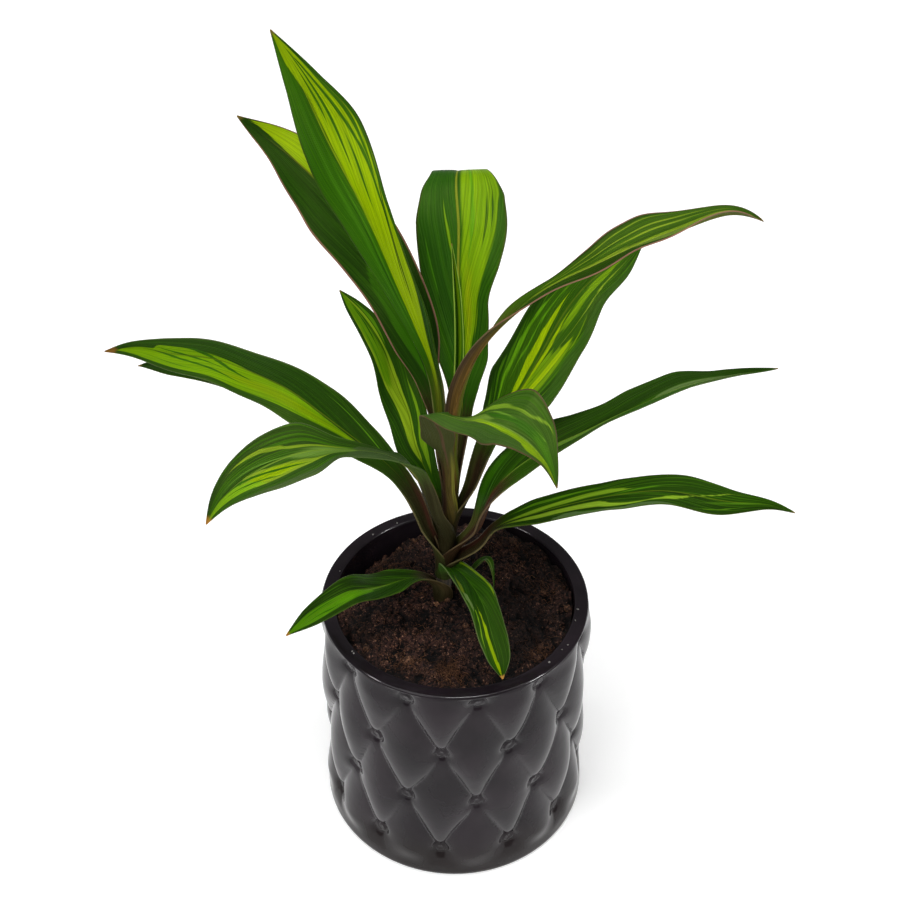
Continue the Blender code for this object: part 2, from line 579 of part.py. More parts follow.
def build_soil(surface):
    """Fills the pot up to its crumbly surface and leaves a plain blind hole for the stem."""
    hole = STEM_RADIUS + STEM_SCAR + GAP
    depth = STEM_FOOT[2] - GAP
    rings = []
    for i, height in enumerate((FLOOR + GAP, SOIL_LEVEL - SOIL_HOLLOW - 10)):
        reach = inner_radius(height) - GAP
        turns = [2 * math.pi * k / SOIL_SIDES for k in range(SOIL_SIDES)]
        rings.append([(reach * math.sin(t), -reach * math.cos(t), height) for t in turns])
    for i in range(SOIL_RINGS + 1):
        inward = i / SOIL_RINGS
        ring = []
        for k in range(SOIL_SIDES):
            turn = 2 * math.pi * k / SOIL_SIDES
            axis = stem_axis(SOIL_LEVEL)
            outer = inner_radius(SOIL_LEVEL - SOIL_HOLLOW) - GAP
            x = (1 - inward) * outer * math.sin(turn) + inward * (axis[0] + hole * math.sin(turn))
            y = -(1 - inward) * outer * math.cos(turn) + inward * (axis[1] - hole * math.cos(turn))
            ring.append((x, y, soil_height(x, y)))
        rings.append(ring)
    base = stem_axis(depth)
    turns = [2 * math.pi * k / SOIL_SIDES for k in range(SOIL_SIDES)]
    rings.append([(base[0] + hole * math.sin(t), base[1] - hole * math.cos(t), depth) for t in turns])
    return add_object("soil", ringed_solid(rings, (0, 0, FLOOR + GAP), base), surface)


def build_stem(surface):
    rings = []
    turns = [2 * math.pi * k / STEM_SIDES for k in range(STEM_SIDES)]
    for i in range(STEM_RINGS + 1):
        share = i / STEM_RINGS
        x, y, z = stem_axis(STEM_FOOT[2] + (STEM_TOP[2] - STEM_FOOT[2]) * share)
        radius = STEM_RADIUS + (STEM_TOP_RADIUS - STEM_RADIUS) * share
        radius += STEM_SCAR * max(0.0, math.cos(2 * math.pi * z / SCAR_PITCH)) ** 3
        rings.append([(x + radius * math.sin(t), y - radius * math.cos(t), z) for t in turns])
    return add_object("stem", ringed_solid(rings, STEM_FOOT, STEM_TOP), surface)


def main():
    clear_scene()
    build_pot(material("glazed ceramic", (0.012, 0.012, 0.014), 0.14, coat=0.6))
    build_soil(material("potting soil", (0.035, 0.018, 0.011), 0.95))
    build_stem(material("stem bark", (0.16, 0.10, 0.055), 0.7))
    foliage = material("leaf", (0.05, 0.17, 0.02), 0.4)
    for name, leaf in LEAVES.items():
        build_leaf(name, leaf, foliage)


main()
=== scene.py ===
"""A young ti plant in a quilted round ceramic pot: its fine pieces, materials, light and camera.

World frame: metres, +Z up, -Y is the front. Sizes are in millimetres and MM turns them into metres.
"""

import math

import bmesh
import bpy
import numpy as np
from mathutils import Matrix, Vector, noise


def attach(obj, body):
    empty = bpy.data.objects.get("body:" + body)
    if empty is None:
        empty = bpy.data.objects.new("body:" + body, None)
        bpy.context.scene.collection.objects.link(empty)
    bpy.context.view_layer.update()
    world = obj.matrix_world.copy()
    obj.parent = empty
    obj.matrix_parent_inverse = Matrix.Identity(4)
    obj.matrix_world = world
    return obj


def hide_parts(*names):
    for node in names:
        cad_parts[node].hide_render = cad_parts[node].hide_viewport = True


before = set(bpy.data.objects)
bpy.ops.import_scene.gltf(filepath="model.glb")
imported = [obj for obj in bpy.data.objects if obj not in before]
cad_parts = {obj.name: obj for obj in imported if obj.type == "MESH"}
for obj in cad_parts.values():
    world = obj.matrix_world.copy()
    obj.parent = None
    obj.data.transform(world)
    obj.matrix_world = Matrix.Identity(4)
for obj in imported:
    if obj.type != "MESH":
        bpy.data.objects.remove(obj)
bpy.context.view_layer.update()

MM = 0.001
GAP = 0.3

# Pot
POT_HEIGHT = 135.0
RIM_RADIUS = 66.0
BODY_RADIUS = 67.2
FOOT_RADIUS = 69.5
FOOT_CHAMFER = 1.5
WALL = 7.0
RIM_ROUND = 1.2
FLOOR = 6.0
INNER_FOOT_RADIUS = 56.0
BUTTON_COLUMNS = 12
BUTTON_ROWS = 4
TOP_BUTTON_HEIGHT = 128.0
ROW_PITCH = 36.4
FIRST_BUTTON_TURN = math.radians(9.3)
QUILT_DEPTH = 3.8
PILLOW_SAG = 1.45
UNEVEN = 0.9
DIMPLE_DEPTH = 2.1
DIMPLE_WIDTH = 4.6
BUTTON_RADIUS = 3.3
BUTTON_DOME = 1.2
BUTTON_GROOVE = 0.6
STEPS_PER_HALF_COLUMN = 20
STEPS_PER_ROW = 38

# Soil
SOIL_LEVEL = 130.0
SOIL_CROWN = 2.0
SOIL_LUMP = 2.6
SOIL_HOLLOW = 17.0
HOLLOW_TURN = math.radians(-128.0)
HOLLOW_SPREAD = math.radians(34.0)
SOIL_SIDES = 330
SOIL_RINGS = 140
CLOD_SIZES = ((9.0, 2.6), (4.2, 2.2), (1.7, 1.0))
CLOD_REACH = 0.75
RELIEF_MEAN = 2.2

# Larger clods, and matted clumps of fibres with their spread
CLODS = (
    (5.1, -19.4), (41.5, -30.4), (-42.5, -31.5), (-45.9, -20.7), (-22.0, -41.3), (39.7, -38.7),
    (37.4, -35.6), (55.5, -5.3), (-29.3, 40.5), (-36.0, 30.0), (-21.0, 47.0), (-4.0, -1.0),
    (-9.0, -3.0), (1.5, 6.0), (44.3, 6.5), (30.0, 42.0),
)
# Pale specks lying on the rim
RIM_SPECKS = ((-42.6, 44.0), (-58.1, 17.0), (-48.7, -37.0), (-47.9, -38.2), (51.0, -35.5), (54.0, -32.5),
            (58.5, -16.5), (-30.5, 53.0), (60.2, -9.0), (-61.0, 5.0), (44.5, -43.5))
FIBRE_CLUMPS = (
    (-4.5, -45.8, 2.4), (-4.5, -45.8, 1.4), (-1.0, -49.0, 2.6), (39.7, -34.7, 4.0), (44.3, 6.5, 4.0),
    (-22.0, -41.3, 3.5), (-34.0, 22.0, 6.0), (22.0, 40.0, 7.0),
)

# Stem
STEM_FOOT = (-8.0, 3.0, 100.0)
STEM_TOP = (-1.0, 4.4, 215.0)
STEM_RADIUS = 4.6
STEM_TOP_RADIUS = 1.8
STEM_SCAR = 0.35
SCAR_PITCH = 7.0
STEM_SIDES = 32
STEM_RINGS = 150

# Every leaf
TIP_HALF_WIDTH = 0.15
SHEATH_CURL = 52.0
STALK_RISE, STALK_CURL = 12.0, 40.0
BLADE_CURL = -8.0
RIB_PITCH = 88.0
LEAF_RINGS = 150
HALF_COLUMNS = 13
BLADE_TOP, BLADE_BOTTOM, STALK_HALF = 0.3, 0.2, 0.45
RIB_GROOVE, RIB_KEEL, RIB_WIDTH = 0.25, 0.8, 1.1
EDGE_ROUND = 0.15

# The foot of a leaf clasps the stem
CLASP_REACH, CLASP_DROP, CLASP_RINGS = 30.0, 3.0, 8
CLASP_TURN, CLASP_TOP_TURN = math.radians(112.0), math.radians(55.0)
CLASP_HEIGHT = 0.3
CLASP_GAP, CLASP_FLARE = 0.4, 0.06
UNCLASPED = ("leaf_spear", "leaf_small_curled")

LEAVES = {
    "leaf_tall_left_front": {
        "stalk": 0.25, "fold": 20.0, "wave": (1.0, 2.5, 0.1),
        "stations": (
            ((-5.5, 4.2, 204), 2.6, (1.0, 0.0, 0.1)),
            ((-7, 6, 220), 2.8, (0.7, -0.7, 0.2)),
            ((-7, 8, 238), 3.0, (0.1, -1.0, 0.2)),
            ((-10, 14, 264), (3.2, 5.8), (-0.5, -0.9, 0.0)),
            ((-22, 21, 295), (7.0, 12.5), (-0.5, -0.8, 0.1)),
            ((-38, 33, 331), (11.0, 11.5), (-0.1, -0.9, 0.3)),
            ((-54, 45, 359), (16.5, 17.0), (0.6, -0.6, 0.6)),
            ((-65, 53, 382), 8.2, (0.4, -0.7, 0.5)),
            ((-76, 60, 401), 0.5, (0.3, -0.8, 0.5)),
        ),
    },
    "leaf_tall_left_back": {
        "stalk": 0.25, "fold": 16.0, "wave": (1.0, 3.0, 0.4),
        "stations": (
            ((-5, 7, 190), 3.0, (0.7, -0.7, 0.1)),
            ((-7, 11, 215), 3.0, (0.5, -0.8, 0.2)),
            ((-8, 14, 234), 3.5, (0.0, -0.9, 0.3)),
            ((-11, 19, 251), 6.5, (-0.5, -0.8, 0.2)),
            ((-17, 28, 269), 11.5, (-0.2, -0.9, 0.4)),
            ((-27, 38, 290), 13.5, (0.0, -0.9, 0.5)),
            ((-38, 48, 304), 15.5, (0.1, -0.8, 0.6)),
            ((-50, 58, 317), 16.5, (-0.2, -0.8, 0.5)),
            ((-61, 67, 327), (14.5, 14.0), (-0.2, -0.9, 0.5)),
            ((-77, 79, 336), (9.8, 10.6), (0.3, -0.5, 0.8)),
            ((-98, 88, 349), 0.5, (0.0, -0.8, 0.6)),
        ),
    },
    "leaf_back_folded": {
        "stalk": 0.18, "fold": 3.0, "wave": (1.0, 3.0, 0.6),
        "stations": (
            ((-1.4, 8.3, 201), 2.4, (-0.2, -1.0, 0.1)),
            ((2, 13, 220), 3.2, (-0.1, -1.0, 0.2)),
            ((3, 18, 238), 5.0, (0.2, -0.9, 0.3)),
            ((3, 22, 249), 8.0, (0.4, -0.8, 0.4)),
            ((3, 28, 261), 12.5, (0.4, -0.8, 0.4)),
            ((2, 37, 280), (15.0, 12.5), (-0.1, -0.9, 0.5)),
            ((1, 47, 297), (17.5, 18.5), (-0.1, -0.9, 0.5)),
            ((1, 57, 313), (19.0, 22.0), (0.1, -0.8, 0.6)),
            ((0, 66, 322), (16.0, 22.5), (0.2, -0.6, 0.8)),
            ((0, 76, 326), (11.5, 19.0), (0.1, -0.2, 1.0)),
            ((1, 86, 323), (11.0, 13.0), (0.0, 0.4, 0.9)),
            ((1, 97, 313), 9.0, (0.0, 0.7, 0.7)),
            ((2, 107, 298), 0.5, (0.0, 0.8, 0.6)),
        ),
    },
    "leaf_right_long": {
        "stalk": 0.45, "fold": 28.0, "wave": (1.0, 2.0, 0.2),
        "stations": (
            ((-2, 0, 199), 2.6, (0.0, 1.0, 0.1)),
            ((-2, -2, 236), 3.2, (0.0, 1.0, 0.1)),
            ((1, -4, 264), 4.2, (-0.2, 0.9, 0.2)),
            ((7, -7, 283), 4.0, (-0.4, 0.8, 0.3)),
            ((17, -9, 301), 3.8, (-0.7, 0.4, 0.6)),
            ((23, -9, 308), 4.2, (-0.7, 0.1, 0.7)),
            ((38, -8.5, 321.5), (3.4, 4.6), (-0.6, -0.3, 0.8)),
            ((55, -5.5, 329.5), (7.0, 7.5), (-0.3, -0.4, 0.9)),
            ((70, -1, 335), (11.5, 10.5), (-0.3, 0.0, 1.0)),
            ((80, 2, 338), (13.0, 11.5), (-0.3, 0.05, 1.0)),
            ((93, 6, 341), (11.0, 8.0), (-0.2, 0.2, 1.0)),
            ((111, 10, 345), (5.2, 4.0), (0.0, 0.2, 1.0)),
            ((126, 14, 339), 0.5, (0.3, -0.4, 0.8)),
        ),
    },
    "leaf_right_broad": {
        "stalk": 0.25, "fold": 16.0, "wave": (1.0, 3.0, 0.5),
        "stations": (
            ((1.2, 3.2, 176), 3.0, (-1.0, 0.0, 0.1)),
            ((9.3, 8, 204), 4.6, (-0.7, -0.6, 0.3)),
            ((15, 14, 222), 5.2, (-0.4, -0.7, 0.6)),
            ((22, 21, 233), (10.5, 12.5), (-0.4, -0.6, 0.7)),
            ((31, 28, 244), (16.5, 18.5), (-0.4, -0.6, 0.7)),
            ((44, 42, 263), (15.5, 18.5), (-0.2, -0.6, 0.8)),
            ((60, 57, 280), (12.0, 12.0), (0.1, -0.7, 0.7)),
            ((73, 68, 285), 9.0, (0.3, -0.7, 0.6)),
            ((89, 82, 290), 0.5, (0.3, -0.6, 0.7)),
        ),
    },
    "leaf_right_middle": {
        "stalk": 0.16, "fold": 25.0, "wave": (0.8, 2.5, 0.0),
        "stations": (
            ((1.5, 1, 157), 3.0, (-1.0, 0.1, 0.2)),
            ((8.6, -1, 175), (4.4, 4.6), (-0.95, -0.1, 0.3)),
            ((14.2, -2, 193), (7.6, 8.5), (-0.95, -0.1, 0.3)),
            ((20, -1, 208), (9.5, 12.0), (-0.7, -0.15, 0.7)),
            ((29, 3, 216), (11.5, 12.5), (-0.4, -0.1, 0.9)),
            ((47, 9, 225), (14.0, 13.0), (-0.4, 0.0, 0.9)),
            ((58, 12, 229), (11.5, 11.0), (-0.4, 0.05, 0.9)),
            ((71, 15, 235), (9.0, 8.0), (-0.3, 0.15, 0.9)),
            ((85, 19, 240), (11.5, 9.0), (-0.3, 0.25, 1.0)),
            ((102, 24, 245), (12.3, 8.0), (-0.2, 0.25, 1.0)),
            ((121, 30, 247), (4.8, 4.5), (0.0, 0.2, 1.0)),
            ((151, 42, 244), 0.5, (0.2, -0.1, 1.0)),
        ),
    },
    "leaf_front_folded": {
        "stalk": 0.3, "wave": (0.0, 1.0, 0.0),
        "fold": (12.0, 12.0, 12.0, 12.0, 10.0, 0.0, -20.0, -5.0, 28.0, 30.0, 30.0),
        "stations": (
            ((-1.6, -0.9, 180), 3.0, (-0.2, 1.0, 0.0)),
            ((-3, -6.5, 214), 2.8, (0.0, 0.9, 0.2)),
            ((-4, -9.5, 234), (3.2, 4.6), (0.1, 0.9, 0.3)),
            ((-5, -10.8, 241), (4.5, 11.5), (0.2, 0.9, 0.3)),
            ((-6, -12, 248), (6.0, 10.5), (0.3, 0.9, 0.3)),
            ((-9, -17, 263), (8.0, 5.0), (0.0, 0.4, 0.9)),
            ((-2, -22, 265), (2.0, 6.0), (-0.1, 0.0, 1.0)),
            ((5, -26, 266), (3.2, 6.5), (-0.1, -0.2, 1.0)),
            ((12, -30, 269), (13.0, 9.5), (-0.1, -0.3, 1.0)),
            ((22, -37, 270), (20.0, 14.5), (0.0, -0.3, 1.0)),
            ((30, -43, 268), (14.5, 11.0), (0.2, -0.3, 0.9)),
            ((37, -49, 262), (6.0, 3.2), (0.3, -0.4, 0.8)),
            ((42, -53, 252), 0.5, (0.3, -0.5, 0.7)),
        ),
    },
    "leaf_right_low": {
        "stalk": 0.2, "fold": 10.0, "wave": (0.8, 3.0, 0.4),
        "stations": (
            ((0, 2.5, 150), 3.2, (-1.0, 0.1, 0.3)),
            ((12.2, -0.4, 168), 3.3, (-0.6, -0.4, 0.6)),
            ((19, 0, 180), 3.2, (-0.7, -0.1, 0.7)),
            ((28, 0, 186), 5.0, (-0.5, -0.2, 0.8)),
            ((40, 0, 191), 7.2, (-0.3, -0.3, 0.9)),
            ((67, 2, 198), 6.8, (-0.1, -0.4, 0.9)),
            ((80, 3, 200), 8.0, (0.0, -0.3, 0.9)),
            ((95, 5, 200), 8.2, (0.1, -0.3, 0.9)),
            ((111, 7, 196), 9.0, (0.3, -0.3, 0.9)),
            ((123, 8, 192), 8.0, (0.2, -0.4, 0.9)),
            ((137, 9, 189), 5.0, (0.2, -0.5, 0.9)),
            ((149, 10, 187), 2.5, (0.2, -0.5, 0.8)),
            ((163, 11, 181), 0.5, (0.3, -0.5, 0.8)),
        ),
    },
    "leaf_left_upper": {
        "stalk": 0.24, "fold": 20.0, "wave": (0.8, 3.5, 0.0),
        "stations": (
            ((-9.6, 2.4, 151), 3.2, (1.0, 0.1, 0.3)),
            ((-15, 3.5, 181), 4.0, (0.5, -0.8, 0.4)),
            ((-27, 8, 207), 5.0, (0.4, -0.7, 0.5)),
            ((-43, 14, 220), 9.5, (0.4, -0.6, 0.8)),
            ((-65, 20, 237), 12.5, (0.1, -0.8, 0.6)),
            ((-76, 24, 244), 12.5, (-0.1, -0.9, 0.4)),
            ((-92, 30, 249), 13.0, (-0.3, -0.9, 0.2)),
            ((-111, 37, 252), 10.5, (-0.3, -0.9, 0.3)),
            ((-132, 44, 250), 8.5, (-0.3, -0.9, 0.3)),
            ((-151, 50, 249), (4.5, 3.5), (-0.3, -0.9, 0.4)),
            ((-167, 54, 244), 0.5, (-0.3, -0.8, 0.5)),
        ),
    },
    "leaf_left_folded": {
        "stalk": 0.3, "fold": 16.0, "wave": (0.8, 2.0, 0.2),
        "stations": (
            ((-3.6, -1.5, 167), 3.2, (0.1, 1.0, 0.2)),
            ((-9.5, -6.5, 193), 4.4, (0.4, 0.9, 0.3)),
            ((-15.5, -9, 217), (4.8, 7.0), (0.5, 0.7, 0.5)),
            ((-22, -13, 231), 6.5, (0.5, 0.4, 0.7)),
            ((-31, -17, 240), (4.5, 2.5), (0.4, 0.1, 0.8)),
            ((-49, -25, 249), (5.2, 5.5), (0.3, -0.1, 0.9)),
            ((-65, -33, 254), 14.0, (0.2, -0.3, 0.9)),
            ((-76, -38, 253), 13.0, (0.1, -0.5, 0.9)),
            ((-87, -44, 250), 10.0, (-0.1, -0.6, 0.8)),
            ((-97, -49, 243), 5.5, (-0.3, -0.7, 0.7)),
            ((-105, -54, 232), 0.5, (-0.3, -0.8, 0.5)),
        ),
    },
    "leaf_left_inner": {
        "stalk": 0.12, "fold": 16.0, "wave": (0.6, 2.0, 0.2),
        "stations": (
            ((-6, 6.5, 176), 3.0, (0.7, -0.7, 0.1)),
            ((-9, 11, 190), 3.5, (0.2, -1.0, 0.2)),
            ((-14, 16, 203), 6.5, (-0.1, -0.9, 0.3)),
            ((-19, 21, 215), 9.5, (-0.3, -0.9, 0.4)),
            ((-22, 28, 227), 10.0, (-0.2, -0.8, 0.4)),
            ((-27, 35, 237), 9.5, (0.1, -0.8, 0.6)),
            ((-33, 43, 251), 8.0, (0.4, -0.7, 0.6)),
            ((-42, 51, 264), 5.5, (0.1, -0.8, 0.6)),
            ((-48, 55, 270), 3.5, (0.0, -0.8, 0.6)),
            ((-54, 60, 275), 0.5, (-0.1, -0.7, 0.7)),
        ),
    },
    "leaf_small_left": {
        "stalk": 0.2, "fold": 14.0, "wave": (0.6, 2.0, 0.0),
        "stations": (
            ((-9.2, -1, 134.5), 2.4, (0.5, 0.8, 0.3)),
            ((-13.5, -2.8, 142), 2.4, (0.6, 0.4, 0.6)),
            ((-19, -5, 151), 3.0, (0.5, 0.2, 0.8)),
            ((-31, -14, 157), 8.0, (0.3, 0.1, 0.9)),
            ((-41, -22, 162), 8.0, (0.3, 0.0, 0.9)),
            ((-48, -28, 166), 7.5, (0.2, -0.2, 0.9)),
            ((-56, -35, 166), 6.8, (0.1, -0.3, 0.9)),
            ((-65, -45, 167), 5.0, (0.1, -0.3, 0.9)),
            ((-76, -56, 166), 0.5, (0.1, -0.3, 0.9)),
        ),
    },
    "leaf_small_front": {
        "stalk": 0.1, "fold": 10.0, "wave": (0.6, 2.0, 0.5),
        "stations": (
            ((-3.4, -2.2, 150), (2.6, 3.6), (0.0, 0.8, 0.6)),
            ((3, -10, 159), (5.0, 6.5), (0.0, 0.2, 1.0)),
            ((10, -24, 162), 8.0, (0.1, 0.0, 1.0)),
            ((14, -34, 160), 7.0, (0.1, -0.2, 1.0)),
            ((17, -44, 155), 7.0, (0.1, -0.4, 0.9)),
            ((20, -53, 149), 5.5, (0.1, -0.5, 0.9)),
            ((22, -61, 143), 0.5, (0.1, -0.6, 0.8)),
        ),
    },
    "leaf_small_curled": {
        "stalk": 0.3, "fold": 15.0, "wave": (0.0, 1.0, 0.0),
        "stations": (
            ((-1.1, 3.5, 143), 1.6, (-0.6, 0.0, 0.8)),
            ((7, 4, 147), 1.6, (-0.4, 0.0, 0.9)),
            ((12, 6, 152), 2.0, (-0.4, 0.0, 0.9)),
            ((16.5, 4, 156), (1.6, 2.6), (0.2, 0.0, 1.0)),
            ((18, 0.5, 154), (1.4, 2.6), (0.8, -0.2, 0.6)),
            ((19, -4, 144), 0.5, (0.9, -0.4, 0.3)),
        ),
    },
    "leaf_spear": {
        "stalk": 0.2, "fold": 62.0, "wave": (0.0, 1.0, 0.0),
        "stations": (
            ((-1.5, 4.8, 216), 2.2, (0.5, -0.8, 0.1)),
            ((-1.3, 9, 240), 3.0, (0.4, -0.9, 0.2)),
            ((0, 14, 263), 4.0, (0.4, -0.9, 0.3)),
            ((0, 24, 294), 3.2, (0.3, -0.9, 0.4)),
            ((-2, 34, 316), 0.5, (0.3, -0.9, 0.4)),
        ),
    },
    "leaf_left_hidden": {
        "stalk": 0.22, "fold": 10.0, "wave": (0.8, 3.0, 0.2),
        "stations": (
            ((-7, 7.6, 159), 2.8, (0.6, -0.8, 0.2)),
            ((-27, 19, 201), 3.0, (0.5, -0.5, 0.7)),
            ((-55, 34, 220), 7.5, (0.1, -0.3, 0.9)),
            ((-97, 52, 228), 9.5, (0.0, -0.3, 1.0)),
            ((-136, 66, 227), 6.5, (0.0, -0.3, 1.0)),
            ((-158, 74, 221), 0.5, (0.0, -0.3, 0.9)),
        ),
    },
}


def srgb(red, green, blue):
    """A screen colour (0 to 255) as linear light."""
    shares = [part / 255 for part in (red, green, blue)]
    return (*(s / 12.92 if s <= 0.04045 else ((s + 0.055) / 1.055) ** 2.4 for s in shares), 1.0)


LIME = (142, 170, 2)
LIME_SOFT = (106, 144, 8)
LIME_PALE = (124, 150, 34)
LEAF_DARK = (24, 56, 6)
LEAF_MID = (46, 94, 6)
LEAF_GREY = (64, 96, 38)
OLIVE = (84, 92, 16)
MAROON = (98, 52, 50)
PINK = (140, 98, 84)
ORANGE = (176, 124, 48)
# Dark streaks on the stalks, also used as painted shade at each leaf's foot
STALK_STREAK_AND_SHADE = (36, 30, 17)
STREAK = (66, 116, 8)
STRIPE = (52, 98, 8)
SHEATH_EDGE = (132, 116, 84)
BROWN_STALK = ((58, 42, 28), (66, 68, 32), (58, 42, 28))
VEIN_SLOPE, VEIN_BEND = 2.5, 1.75

